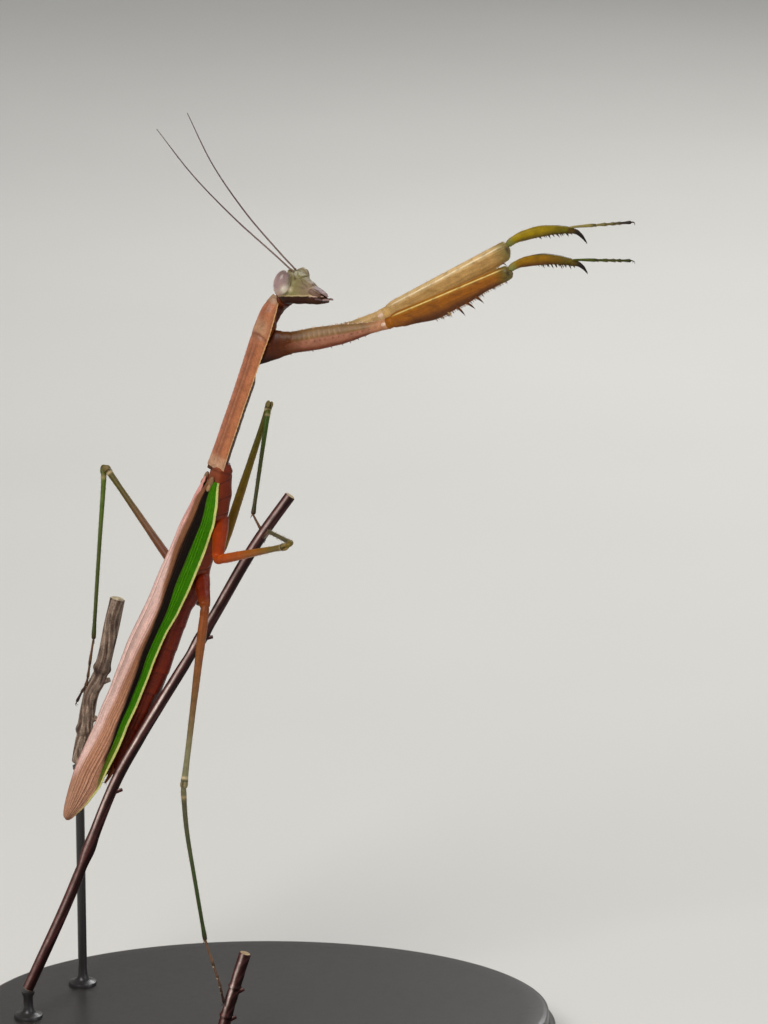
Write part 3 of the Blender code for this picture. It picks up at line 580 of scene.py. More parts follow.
def eyes_and_ocelli():
    axes = head_axes()
    for name, side in (("left", 1), ("right", -1)):
        eye, ring = Shape(), Shape()
        centre = head_at(side * EYE_SPREAD, 0, 0)
        v = np.linspace(0.02, PI - 0.02, 72)[:, None]
        u = around(96)
        l, m, f = cos(v), sin(v) * cos(u), sin(v) * sin(u)
        # a little fuller in front, as the living eye is, and narrowed at its rear end
        swell = 1 - 0.07 * ease(0.2, -1, f)
        parts = (l * EYE_RADII[0] * side, m * EYE_RADII[1] * swell, f * EYE_RADII[2])
        points = centre + sum(p[..., None] * axis for p, axis in zip(parts, axes))
        tone = paint(rgb(172, 142, 138),
            ((140, 114, 108), ease(0.1, 0.9, f)),
            # paler along the rear edge: a painted highlight
            ((206, 170, 164), 0.85 * ease(-0.3, -0.85, m) * ease(-0.2, 0.6, l + 0.4)),
            ((214, 184, 164), 0.8 * ease(-0.25, -0.8, f) * ease(-0.6, 0.1, m)),
            (OLIVE, 0.6 * ease(0.55, 0.95, m) * ease(0.0, 0.5, f)))
        bands = 0.5 + 0.5 * sin(9 * m + 1.5 * sin(2.2 * f))
        tone = mix(tone, rgb(118, 90, 88), 0.1 * bands * ease(0.9, 0.2, l))
        # the eye pales into the olive of the face at its inner edge
        seat = mix(OLIVE, HEAD_LOW, ease(0.2, -0.6, f)) if side < 0 else rgb(158, 148, 118)
        tone = mix(tone, seat, ease(0.34, -0.25, l) + 0.35 * ease(0.55, 0.95, m) * ease(-0.2, 0.3, f)
            * (l > 0.1))
        # painted highlights at the lower front, and along the rear edge
        painted_highlight = bump(0.85, 0.36, m) * bump(-0.32, 0.32, f) * ease(-0.3, 0.0, l)
        tone = mix(tone, rgb(255, 240, 214), 0.98 * (1.3 * painted_highlight).clip(0, 1))
        outer = 0.885 * l + 0.385 * m + 0.26 * f
        tone = mix(tone, rgb(240, 210, 206), 0.75 * ease(0.55, 0.15, outer) * ease(0.1, -0.45, m)
            * bump(-0.35, 0.4, f))
        eye.grid(points, tone)
        eye.piece("eye_lens_" + name, EYE, "eye_mauve", "eye_" + name, sharp=180)
        u = np.linspace(0, 2 * PI, 97)
        inset = 0.52
        lap = math.sqrt(1 - (inset / EYE_RADII[0]) ** 2)
        edge = head_at(side * (EYE_SPREAD - inset), EYE_RADII[1] * lap * cos(u), EYE_RADII[2] * lap * sin(u))
        tube(ring, edge, 0.1, lambda t, a: mix(rgb(146, 128, 98), rgb(124, 108, 74), ease(-0.2, 0.8, cos(a))),
            axes[0], 12, 0.12)
        ring.piece("eye_rim_" + name, HEAD_SHELL, "head_olive", "eye_" + name)
    ocelli = Shape()
    for l, m in ((0.0, -0.42), (0.34, -0.8), (-0.34, -0.8)):
        blob(ocelli, head_at(l, m, 1.79 - 0.25 * (m + 0.42) ** 2 - 0.1 * (m < -0.6)), axes, (0.11, 0.13, 0.1),
            rgb(164, 150, 118), 10, 14)
    ocelli.piece("ocelli", EYE, "eye_mauve", "head")


def feeler_route(side, drift):
    p = head_at(side * 0.65, -0.05, 1.78)
    route = [p]
    rises = (48.5, 51, 57, 65) if side > 0 else (42.5, 42, 46, 52)
    for length, rise in zip((4.3, 8, 9, 9), rises):
        route.append(route[-1] + direction(180 - rise, drift) * length)
    return route


def feelers():
    for name, side, drift in (("left", 1, 4), ("right", -1, -5)):
        shape = Shape()
        route = feeler_route(side, drift)
        foot = head_at(side * 0.68, 0.1, 1.35)
        base = spline([foot, (foot + route[0]) / 2 + head_axes()[2] * 0.05, route[0]])
        tube(shape, base, [(0, 0.2), (0.5, 0.23), (1, 0.19)], rgb(92, 72, 44), TO_VIEWER, 18, 0.08,
            tips=(0.1, 0.12))
        start = route[0] + (route[1] - route[0]) * 0.13
        tube(shape, spline([route[0], (route[0] + start) / 2, start]), [(0, 0.13), (0.6, 0.19), (1, 0.15)],
            rgb(112, 88, 72), TO_VIEWER, 16, 0.06, tips=(0.06, 0.08))
        rings = 92
        lash = spline([start, *route[1:]], 24)
        tube(shape, lash, [(0, 0.135), (0.3, 0.125), (0.8, 0.09), (1, 0.055)],
            lambda t, a: mix(mix(rgb(128, 106, 98), rgb(96, 74, 78), ease(0.1, 0.5, t)), rgb(60, 42, 44),
            0.55 * bump(0, 0.2, sin(PI * rings * t))), TO_VIEWER, 10, 0.06,
            section=lambda t, a: 1 + 0.1 * np.abs(sin(PI * rings * t)) - 0.05, tips=(0.02, 0.06))
        shape.piece("feeler_" + name, FEELER, "shell_brown", "antenna_" + name, sharp=70)


def neck():
    shape = Shape()
    path = spline([body_at(-24.2, 0.2, -1.2, PROTHORAX_ROLL), body_at(-26.2, 0.1, -1.7, PROTHORAX_ROLL),
        body_at(-27.6, 0.1, -2.3, PROTHORAX_ROLL), head_at(0, -0.1, -2.6)])
    folds = lambda t, a: 1 + 0.02 * sin(34 * t + 1.2 * sin(a)) + 0.012 * sin(9 * a + 14 * t)
    tube(shape, path, [(0, 1.05), (0.35, 1.15), (0.7, 1.3), (1, 1.4)],
        lambda t, a: mix(rgb(70, 22, 4), rgb(104, 50, 22), 0.6 * ease(0.3, 0.95, cos(a - 2.4))), TO_VIEWER, 48,
        0.06, section=folds, tips=(0.5, 0.3))
    for r in (-0.72, 0.72):
        # the neck plates, one on each side of the membrane
        blob(shape, body_at(-26.9, r, -1.9, PROTHORAX_ROLL), body_axes(PROTHORAX_ROLL), (0.9, 0.42, 0.5),
            rgb(74, 26, 8))
    shape.piece("neck_skin", LEG_SHELL, "shell_red", "neck")


# ---------------------------------------------------------------- pronotum

PRONOTUM_CENTRE = [(-29, -0.95), (-27.6, -0.6), (-26, -0.3), (-18, -0.15), (0, 0.15)]
PRONOTUM_WIDTH = [(-28.9, 0.55), (-28.5, 0.8), (-27.5, 1.08), (-26.5, 1.32), (-25, 1.48), (-22.6, 1.62),
    (-20.5, 1.58), (-17, 1.52), (-11, 1.45), (-4, 1.5), (0, 1.65)]
PRONOTUM_ABOVE = [(-28.9, 0.3), (-28.2, 0.6), (-26, 0.82), (-22.8, 0.9), (-21.5, 0.78), (-16, 0.58), (0, 0.62)]
STERNUM_BELOW = [(-28.0, 0.3), (-26.6, 0.9), (-25.4, 1.9), (-24, 2.35), (-20.5, 2.3), (-18.2, 1.3),
    (-16.5, 1.0), (-14.5, 1.75), (-5, 1.8), (0, 1.7)]
COLLAR = rgb(182, 144, 114)
PLATE_LEFT = rgb(196, 128, 104)
PLATE_MIDDLE = rgb(164, 100, 68)
PLATE_RIGHT = rgb(184, 112, 70)
PLATE_EDGE = rgb(216, 174, 116)


def pronotum():
    plate = Shape()
    s = np.concatenate([np.linspace(-28.9, -28.5, 6)[:-1], np.linspace(-28.5, -0.3, 230),
        np.linspace(-0.3, 0, 5)[1:]])
    s = s[:, None]
    u = np.linspace(-1, 1, 91)[None, :]
    width, above = blend(PRONOTUM_WIDTH, s), blend(PRONOTUM_ABOVE, s)
    turn = u * math.radians(97)
    r = width * sin(turn)
    d = blend(PRONOTUM_CENTRE, s) + above * cos(turn)
    edge = ease(0.86, 0.97, np.abs(u))
    teeth = 0.5 + 0.5 * sin(s * 8.2 + np.sign(u) * 0.9 + sin(s * 3.1))
    r = r + np.sign(u) * edge * (0.08 + 0.07 * teeth * ease(-27.6, -26, s) * ease(-1, -8, s))
    keel = bump(0, 0.07, u) * (0.08 * ease(-22, -19, s) + 0.05 * ease(-24, -27, s))
    furrow_line = -22.3 + 1.1 * u**2
    furrow = bump(furrow_line, 0.32, s) * ease(0.98, 0.7, np.abs(u))
    lobe = bump(0.42, 0.2, np.abs(u)) * (0.14 * bump(-24.6, 1.7, s) + 0.1 * bump(-20.6, 1.2, s))
    pits = 0.018 * sin(31 * s + 9 * sin(17 * u)) * sin(47 * u * width + 5 * sin(7 * s))
    rear_rim = 0.1 * bump(-0.5, 0.25, s) + 0.08 * bump(-28.35, 0.2, s)
    d = d + keel - 0.26 * furrow + lobe + pits + rear_rim * cos(turn).clip(0, 1)
    d = d - 0.06 * bump(0.16, 0.05, np.abs(u)) * ease(-22, -20, s) * ease(0, -3, s)
    # pinker on the left, more orange and darker on the right: partly the plate's own colours, partly painted
    # shade on the right half
    tone = paint(PLATE_LEFT,
        (PLATE_MIDDLE, ease(-0.75, -0.1, u)),
        (PLATE_RIGHT, ease(0.05, 0.5, u)),
        ((196, 160, 124), 0.55 * bump(-23.4, 1.5, s) * ease(1, 0.2, np.abs(u))),
        (COLLAR, ease(-27.2, -28.3, s)),
        ((128, 76, 50), 0.75 * furrow),
        ((190, 134, 98), 0.3 * bump(0, 0.06, u) * ease(-22, -19, s)),
        ((132, 78, 50), 0.5 * bump(0.13, 0.05, np.abs(u)) * ease(-22, -19, s)),
        (PLATE_EDGE, 0.9 * ease(0.84, 0.93, np.abs(u)) * ease(1.0, 0.95, np.abs(u))),
        ((96, 52, 32), 0.5 * ease(0.95, 1.0, np.abs(u))),
        ((196, 152, 118), 0.8 * ease(-2.6, -1.2, s)))
    spots = sin(5.3 * s + 3 * sin(6 * u)) * sin(9 * u + 2.2 * sin(2.1 * s))
    tone = mix(tone, rgb(120, 66, 40), 0.3 * ease(0.55, 0.95, spots))
    points = body_at(s, r, d, PROTHORAX_ROLL)
    grain = stacked(s, u * width, 0 * s)
    # the under face of the plate, so that its edge has a thickness
    inner = body_at(s * 0.992 - 0.11, r - np.sign(u) * 0.16 * np.abs(sin(turn)), d - 0.16 * cos(turn) - 0.05,
        PROTHORAX_ROLL)
    net = np.concatenate([points, inner[:, ::-1]], 1)
    dark = np.broadcast_to(rgb(90, 44, 24), inner.shape)
    plate.grid(net, np.concatenate([tone, dark], 1), np.concatenate([grain, grain[:, ::-1]], 1))
    plate.piece("pronotum_plate", SHELL, "shell_brown", "prothorax", sharp=60)

    body = Shape()
    s = np.linspace(-28.3, 0.6, 170)[:, None]
    a = around(72)
    width = blend(PRONOTUM_WIDTH, s) - 0.16 - 0.35 * bump(-17.3, 1.6, s)
    below = blend(STERNUM_BELOW, s)
    ribs = 0.03 * sin(2.6 * s) * ease(-22, -18, s)
    bands = 0.12 * (bump(-24.6, 0.25, s) + bump(-22.4, 0.3, s) + bump(-17.4, 0.3, s) + bump(-9.5, 0.25, s))
    under = below + ribs - bands
    # squarer than an oval below
    d = blend(PRONOTUM_CENTRE, s) + np.where(sin(a) > 0, 0.35, under) * squared(sin(a), 0.8)
    r = width * squared(cos(a), 0.62)
    d = d - 0.07 * bump(0, 0.22, r) * (sin(a) < 0)
    side = ease(-0.25, -0.9, sin(a))
    # darker on its underside: painted shade, away from the light
    tone = paint(rgb(110, 60, 34),
        ((66, 20, 6), side),
        ((60, 20, 8), 0.6 * (bands / 0.12).clip(0, 1)),
        ((62, 46, 36), ease(-17, -15, s) * 0.8))
    body.grid(body_at(s, r, d, PROTHORAX_ROLL), tone)
    body.piece("prosternum", LEG_SHELL, "shell_red", "prothorax", sharp=60)


# ---------------------------------------------------------------- thorax and abdomen

TRUNK_CENTRE = [(0, -0.6), (6, -1.2), (12, -1.4), (20, -1.0), (33, -0.4), (40, 0.1), (46, 0.4), (52.5, 0.4)]
TRUNK_WIDTH = [(-1.2, 1.25), (0, 1.55), (5, 1.6), (11, 2.1), (18, 2.5), (24, 2.95), (33, 3.4), (40, 2.9),
    (47, 2.1), (52.5, 1.0)]
TRUNK_ABOVE = [(-1.2, 0.9), (0, 1.2), (6, 1.4), (12, 1.6), (20, 1.8), (33, 2.0), (40, 1.7), (46, 1.3),
    (52.5, 0.6)]
TRUNK_BELOW = [(-1.2, 1.4), (0, 2.2), (4, 2.9), (9, 3.2), (12, 2.9), (15, 3.0), (18, 3.5), (20.2, 3.35),
    (23.5, 2.5), (33, 2.6), (38, 2.75), (42, 2.7), (46, 2.2), (52.5, 0.9)]
BRICK = rgb(116, 40, 14)
MAROON = rgb(104, 24, 4)


def thorax():
    shape = Shape()
    s = np.linspace(-1.1, 20.4, 190)[:, None]
    a = around(110)
    c, sn = cos(a), sin(a)
    r = blend(TRUNK_WIDTH, s) * squared(c, 0.88)
    d = blend(TRUNK_CENTRE, s) + np.where(sn > 0, blend(TRUNK_ABOVE, s), blend(TRUNK_BELOW, s)) * sn
    flank = ease(0.35, 0.75, np.abs(c))
    # slanting seams of the side plates, a seam between the two segments and a swelling above each hip
    seams = np.zeros_like(d)
    for start, slope in ((2.2, 1.5), (5.0, 1.5), (7.6, 1.2), (11.2, 1.6), (14.0, 1.5), (16.6, 1.2)):
        seams = seams + bump(0, 0.16, s - start - slope * sn) * flank
    seams = seams + bump(9.4, 0.2, s) + bump(19.0, 0.2, s) + 0.7 * bump(0.3, 0.2, s)
    swell = np.zeros_like(d)
    for start in (8.4, 17.0):
        swell = swell + bump(start, 1.5, s) * bump(-0.62, 0.45, sn) * flank
    size = 1 - 0.055 * seams.clip(0, 1) + 0.08 * swell + 0.012 * sin(5 * a + 2.2 * s)
    centre = blend(TRUNK_CENTRE, s)
    r, d = r * size, centre + (d - centre) * size
    tone = paint(BRICK,
        ((140, 84, 64), 0.75 * ease(-0.35, 0.45, sn) + 0.3 * swell),
        ((78, 26, 14), ease(-0.5, -0.95, sn) * 0.6),
        ((58, 18, 8), 0.55 * seams.clip(0, 1)))
    shape.grid(body_at(s, r, d), tone)
    for side in (-1, 1):
        # the roots of the wings: two knobbed hinges on each shoulder
        for s0, h, size in ((2.2, 0.55, 1.0), (11.6, 0.9, 0.8)):
            blob(shape, body_at(s0, side * 1.25, h), body_axes(TRUNK_ROLL), (0.95 * size, 0.42, 0.4),
                rgb(140, 108, 82))
            blob(shape, body_at(s0 + 0.95, side * 1.5, h + 0.2), body_axes(TRUNK_ROLL), (0.6, 0.34, 0.3),
                rgb(168, 132, 98))
    shape.piece("thorax_shell", LEG_SHELL, "shell_red", "thorax", sharp=60)


def abdomen():
    shape = Shape()
    s = np.linspace(18.6, 52.9, 430)[:, None]
    a = around(120)
    c, sn = cos(a), sin(a)
    joints = np.array([19.2, 22.6, 26.3, 30.2, 34.2, 38.0, 41.6, 44.6, 47.2, 49.4, 51.2])
    # each ring laps over the next: it widens a little to its rear edge, then steps in
    where = s + 0.25 * cos(2 * a)
    ring = np.clip(np.searchsorted(joints, where) - 1, 0, len(joints) - 2)
    share = np.clip((where - joints[ring]) / (joints[ring + 1] - joints[ring]), 0, 1)
    step = 0.035 * share**1.5 - 0.03 * ease(0.93, 1.0, share)
    seam = bump(1.0, 0.05, share) + bump(0.0, 0.04, share) * (where > joints[0])
    r = blend(TRUNK_WIDTH, s) * squared(c, 0.92)
    centre = blend(TRUNK_CENTRE, s)
    d = centre + np.where(sn > 0, blend(TRUNK_ABOVE, s), blend(TRUNK_BELOW, s)) * sn
    # the soft fold along each side, between the back plates and the belly plates
    fold = bump(0.05, 0.13, sn)
    size = 1 + step - 0.07 * fold + 0.03 * bump(-0.28, 0.12, sn) + 0.006 * sin(60 * share + 7 * a)
    close = np.sqrt(np.clip((53.0 - s) / 2.2, 0.003, 1))
    size = size * np.where(s > 50.8, close, 1) * 0.97
    r, d = r * size, centre + (d - centre) * size
    tone = paint(MAROON,
        ((104, 28, 8), 0.6 * ease(0.15, 0.75, c) * ease(-0.9, 0.2, sn)),
        ((84, 20, 8), 0.7 * ease(-0.35, -0.9, sn)),
        ((122, 52, 26), 0.4 * fold * ease(0.1, 0.5, np.abs(c))),
        ((54, 14, 6), 0.3 * seam.clip(0, 1)),
        ((128, 50, 26), 0.2 * bump(0.85, 0.1, share) * (seam < 0.4)))
    flecks = sin(9.1 * s + 4 * sin(5 * a)) * sin(13 * a + 3 * sin(1.7 * s))
    tone = mix(tone, rgb(66, 24, 18), 0.4 * ease(0.5, 0.9, flecks))
    shape.grid(body_at(s, r, d), tone)
    # the supra-anal plate and the closed valves below it
    axes = body_axes(TRUNK_ROLL)
    blob(shape, body_at(52.0, 0, 1.0), axes, (1.35, 0.75, 0.3), rgb(122, 62, 40))
    for side in (-0.24, 0.24):
        blob(shape, body_at(52.3, side, -0.2), axes, (1.7, 0.3, 0.42), rgb(88, 36, 24))
    blob(shape, body_at(51.4, 0, -0.35), axes, (1.8, 0.85, 0.62), rgb(100, 42, 28))
    shape.piece("abdomen_shell", LEG_SHELL, "shell_red", "abdomen_front", "abdomen_middle", "abdomen_rear",
        sharp=60)
    for name, side in (("left", -1), ("right", 1)):
        tail = Shape()
        path = spline([body_at(51.6, side * 0.5, 0.75), body_at(52.6, side * 0.66, 1.0),
            body_at(53.5, side * 0.84, 1.3), body_at(54.3, side * 0.95, 1.6)])
        net = tube(tail, path, [(0, 0.3), (0.3, 0.32), (1, 0.18)], lambda t, a: mix(mix(rgb(120, 62, 42),
            rgb(156, 104, 70), t), rgb(66, 28, 20), 0.6 * bump(0, 0.3, sin(PI * 11 * t))), TO_VIEWER, 18, 0.05,
            section=lambda t, a: 0.94 + 0.1 * np.abs(sin(PI * 11 * t)), tips=(0.1, 0.15))
        hairs(tail, net, 120, 0.6, rgb(120, 80, 52), 0.8, radius=0.012)
        tail.piece("cercus_rings_" + name, LEG_SHELL, "shell_red", "cercus_" + name, sharp=70)


# ---------------------------------------------------------------- wings

WING_HEIGHT = [(2, 0.95), (6, 1.45), (12, 2.05), (22, 2.76), (33, 4.05), (39, 4.42), (44, 4.95), (54, 6.2),
    (61, 6.5)]
WING_HALF = [(2, 1.7), (6, 2.5), (12, 3.1), (22, 3.65), (33, 3.7), (44, 3.2), (54, 2.5), (61, 1.8)]
WING_SIDE = [(2, 1.4), (6, 2.7), (9, 3.25), (12, 3.4), (19, 3.25), (23, 2.85), (27, 2.42), (31, 2.58),
    (39, 2.82), (44, 2.9), (50, 3.3), (54, 3.35), (57, 2.7), (61, 1.8)]


def wing_profile(s, q, inner):
    """Across one folded wing at s: q runs 0 at the seam on the back to 1 at the front margin."""
    height, half, side = (blend(table, s) for table in (WING_HEIGHT, WING_HALF, WING_SIDE))
    stops = np.array([0.0, 0.25, 0.45, 0.56, 0.74, 1.0])
    rs = [inner + 0 * half, inner + (half - inner) * 0.5, inner + (half - inner) * 0.88, half, half + 0.12,
        half + 0.2]
    ds = [height, height - 0.05, height - 0.28, height - 0.28 - side * 0.22, height - 0.28 - side * 0.6,
        height - 0.28 - side * 0.92]
    knots = np.stack([np.stack([r, d], -1) for r, d in zip(rs, ds)])
    i = np.clip(np.searchsorted(stops, q) - 1, 0, 4)
    span = (stops[i + 1] - stops[i])[..., None]
    t = ((q - stops[i]) / np.squeeze(span, -1))[..., None]
    rows = np.arange(s.shape[0])[:, None]
    pick = lambda k: knots[np.clip(k, 0, 5), rows, 0]
    p0, p1, p2, p3 = pick(i - 1), pick(i), pick(i + 1), pick(i + 2)
    m1, m2 = (p2 - p0) * 0.5, (p3 - p1) * 0.5
    point = (2 * t**3 - 3 * t**2 + 1) * p1 + (t**3 - 2 * t**2 + t) * m1 + (-2 * t**3 + 3 * t**2) * p2 + (t**3
        - t**2) * m2
    end = FOREWING_START + FOREWING_LENGTH
    past = np.clip((s - (end - WING_TIP_ROUNDING)) / WING_TIP_ROUNDING, 0, 1)
    open_ = 0.02 + 0.98 * np.sqrt(1 - past**2.2)
    middle = np.stack([half * (0.7 - 0.5 * past), height - side * 0.4], -1)
    return middle + (point - middle) * open_[..., None]


def vein_lift(s, q, veins):
    """How raised, 0 to 1, each point is by the lengthwise veins, given as (q at base, q at tip, size)."""
    share = (s - FOREWING_START) / FOREWING_LENGTH
    lift = np.zeros(np.broadcast_shapes(s.shape, q.shape))
    for base, tip, size in veins:
        line = base + (tip - base) * ease(0, 1, share)
        lift = lift + size * bump(line, 0.011, q)
    return lift


VEINS = [(0.06, 0.03, 0.5), (0.13, 0.08, 0.5), (0.2, 0.13, 0.6), (0.27, 0.2, 0.5), (0.34, 0.27, 0.7),
    (0.41, 0.34, 0.8), (0.47, 0.4, 0.8), (0.515, 0.46, 0.9), (0.555, 0.52, 1.0), (0.595, 0.58, 1.1),
    (0.645, 0.66, 1.2), (0.7, 0.74, 1.0), (0.985, 0.985, 1.2)]
GREEN = rgb(58, 124, 0)
WING_DARK = rgb(10, 6, 4)
MARGIN = rgb(224, 222, 136)
# where the lengthwise bands of colour meet across the wing, as (s, q)
TAN_FROM = [(4, 0.02), (9, 0.12), (14, 0.06), (19, 0.2), (24, 0.34), (28, 0.36), (38, 0.28), (49, 0.27),
    (53, 0.22), (57, -0.1)]
DARK_FROM = [(4, 0.32), (9, 0.33), (14, 0.27), (19, 0.345), (24, 0.395), (28, 0.45), (38, 0.53), (44, 0.6),
    (49, 0.665), (53, 0.8)]
GREEN_FROM = [(4, 0.54), (9, 0.58), (14, 0.555), (19, 0.545), (24, 0.59), (28, 0.625), (38, 0.675), (44, 0.695),
    (49, 0.73), (53, 0.8), (57, 0.92)]
MARGIN_FROM = [(4, 0.86), (9, 0.9), (30, 0.905), (49, 0.895), (53, 0.93), (57, 0.9)]


def forewing(name, side):
    shape = Shape()
    s = np.concatenate([np.linspace(2.0, 53.0, 250)[:-1], np.linspace(53, 61.6, 62)])[:, None]
    q = np.linspace(0, 1, 150)[None, :]
    share = (s - FOREWING_START) / FOREWING_LENGTH
    lift = vein_lift(s, q, VEINS)
    # the wing narrows into its hinge
    root = ease(0.0, 0.12, share)
    # the right wing laps over the left along the back
    lap = ease(2.6, 6.0, s)
    flat = wing_profile(s, q, 0.12 - lap * (1.5 if side > 0 else 0.3))
    r, d = flat[..., 0], flat[..., 1]
    if side < 0:
        d = d - 0.26 * lap * ease(0.42, 0.1, q)
    ripple = 0.02 * sin(6.3 * s + 18 * q) * sin(40 * q) * (1 - lift.clip(0, 1))
    outward = ease(0.4, 0.6, q)
    rise = 0.085 * lift + ripple
    r, d = r + rise * outward, d + rise * (1 - outward)
    pinch = 1 - 0.4 * (1 - root)
    hinge = 1.25
    r = np.where(share < 0.12, hinge + (r - hinge) * pinch, r)
    # the pink-brown back of the wing, brightened in the middle of its length by a painted reflection of the sky
    pink_with_reflection = mix(rgb(236, 166, 154), rgb(255, 214, 202), ease(0.02, 0.3, share) * ease(1, 0.78, share))
    if side > 0:
        tone = mix(pink_with_reflection, rgb(214, 150, 128), 0.4 * ease(0.1, 0.3, q))
    else:
        tone = mix(pink_with_reflection, rgb(188, 148, 136), 0.8 * ease(0.3, 0.45, q))
    tone = mix(tone, rgb(150, 116, 102), 0.6 * ease(0.24, 0.08, q) * bump(0.52, 0.2, share))
    near = lambda edge, soft=0.03: ease(-soft, soft, q - blend(edge, s))
    tan = mix(rgb(140, 92, 62), rgb(200, 144, 114), ease(0.4, 0.75, share))
    tone = mix(tone, tan, near(TAN_FROM, 0.08) * (1 if side > 0 else ease(0.42, 0.6, q)))
    dark = near(DARK_FROM, 0.05) * ease(0.87, 0.8, share)
    stripe = near(GREEN_FROM, 0.012) * ease(0.93, 0.86, share)
    tone = mix(tone, mix(WING_DARK, rgb(50, 24, 10), 0.6 * ease(0.5, 0.3, q)),
        dark * (1 if side > 0 else ease(0.45, 0.56, q)))
    green = mix(GREEN, rgb(104, 112, 30), ease(0.66, 0.88, share))
    green = mix(green, rgb(40, 92, 0), 0.6 * bump(0.03, 0.03, q - blend(GREEN_FROM, s)))
    tone = mix(tone, green, stripe)
    dark = dark * (1 - stripe)
    tip = ease(0.82, 0.95, share)
    tone = mix(tone, rgb(188, 144, 118), tip * 0.6)
    rays = sin(58 * (q + 0.1 * share)) + 0.6 * sin(131 * q + 2)
    tone = paint(tone,
        ((120, 62, 36), 0.5 * ease(0.35, 1.1, rays) * ease(0.72, 0.86, share) * (1 - stripe)
            * ease(0.12, 0.3, q)),
        ((226, 178, 148), 0.45 * ease(-0.3, -1.1, rays) * ease(0.72, 0.86, share) * (1 - stripe)),
        ((112, 66, 40), 0.6 * lift.clip(0, 1) * (1 - stripe) * (1 - dark) * ease(0.1, 0.4, q + 0.6 * tip)),
        ((70, 50, 26), 0.12 * lift.clip(0, 1) * dark),
        ((96, 156, 0), 0.3 * lift.clip(0, 1) * stripe),
        (MARGIN, 0.92 * near(MARGIN_FROM, 0.014) * ease(1.0, 0.9, share)),
        # the seam where the wings lap
        ((132, 62, 50), 0.75 * bump(0.012, 0.014, q) * (side > 0)))
    points = body_at(s, side * r, d)
    shape.grid(points, tone, stacked(s, q * 8.5, 0 * s), closed=False)
    piece = shape.piece("forewing_sheet_" + name, WING, "wing_brown", "forewing_" + name, sharp=80)
    skin = piece.modifiers.new("thickness", "SOLIDIFY")
    skin.thickness, skin.offset = FOREWING_THICKNESS * MM, -1.0


def hindwing(name, side):
    shape = Shape()
    start, stop = HINDWING_SPAN
    s = np.linspace(start - 3, stop + 2.5, 150)[:, None]
    q = np.linspace(0, 1, 60)[None, :]
    height, half, deep = (blend(table, s) for table in (WING_HEIGHT, WING_HALF, WING_SIDE))
    top = height - 0.55 - 0.2
    reach = np.maximum(0.5, half - 0.75) * np.sqrt(np.clip((stop + 2.6 - s) / 9, 0.001, 1))
    r = 0.1 + (reach - 0.1) * q
    d = top - 0.05 * q - 0.3 * q**3 - deep * 0.12 * q**6
    # folded like a fan, so the surface is pleated along its length
    pleat = sin(q * PI * 9 - s * 0.03)
    d = d + 0.06 * pleat - 0.05
    tone = paint(rgb(150, 118, 98),
        ((112, 78, 58), 0.5 + 0.5 * pleat),
        ((92, 58, 44), ease(0.6, 1, q)))
    shape.grid(body_at(s, side * r, d), tone, stacked(s, q * 4, 0 * s), closed=False)
    piece = shape.piece("hindwing_fan_" + name, WING, "wing_brown", "hindwing_" + name, sharp=80)
    skin = piece.modifiers.new("thickness", "SOLIDIFY")
    skin.thickness, skin.offset = HINDWING_THICKNESS * MM, -1.0


# ---------------------------------------------------------------- grasping legs

PALE_SPOT = rgb(214, 184, 156)
SPINE_FOOT, SPINE_TIP = rgb(104, 58, 22), rgb(30, 12, 6)


def frame_of(start, end):
    """Along, across (towards the right side) and up for a limb that reaches ahead."""
    along = unit(end - start)
    across = unit(np.cross(along, UP))
    return along, across, np.cross(across, along)


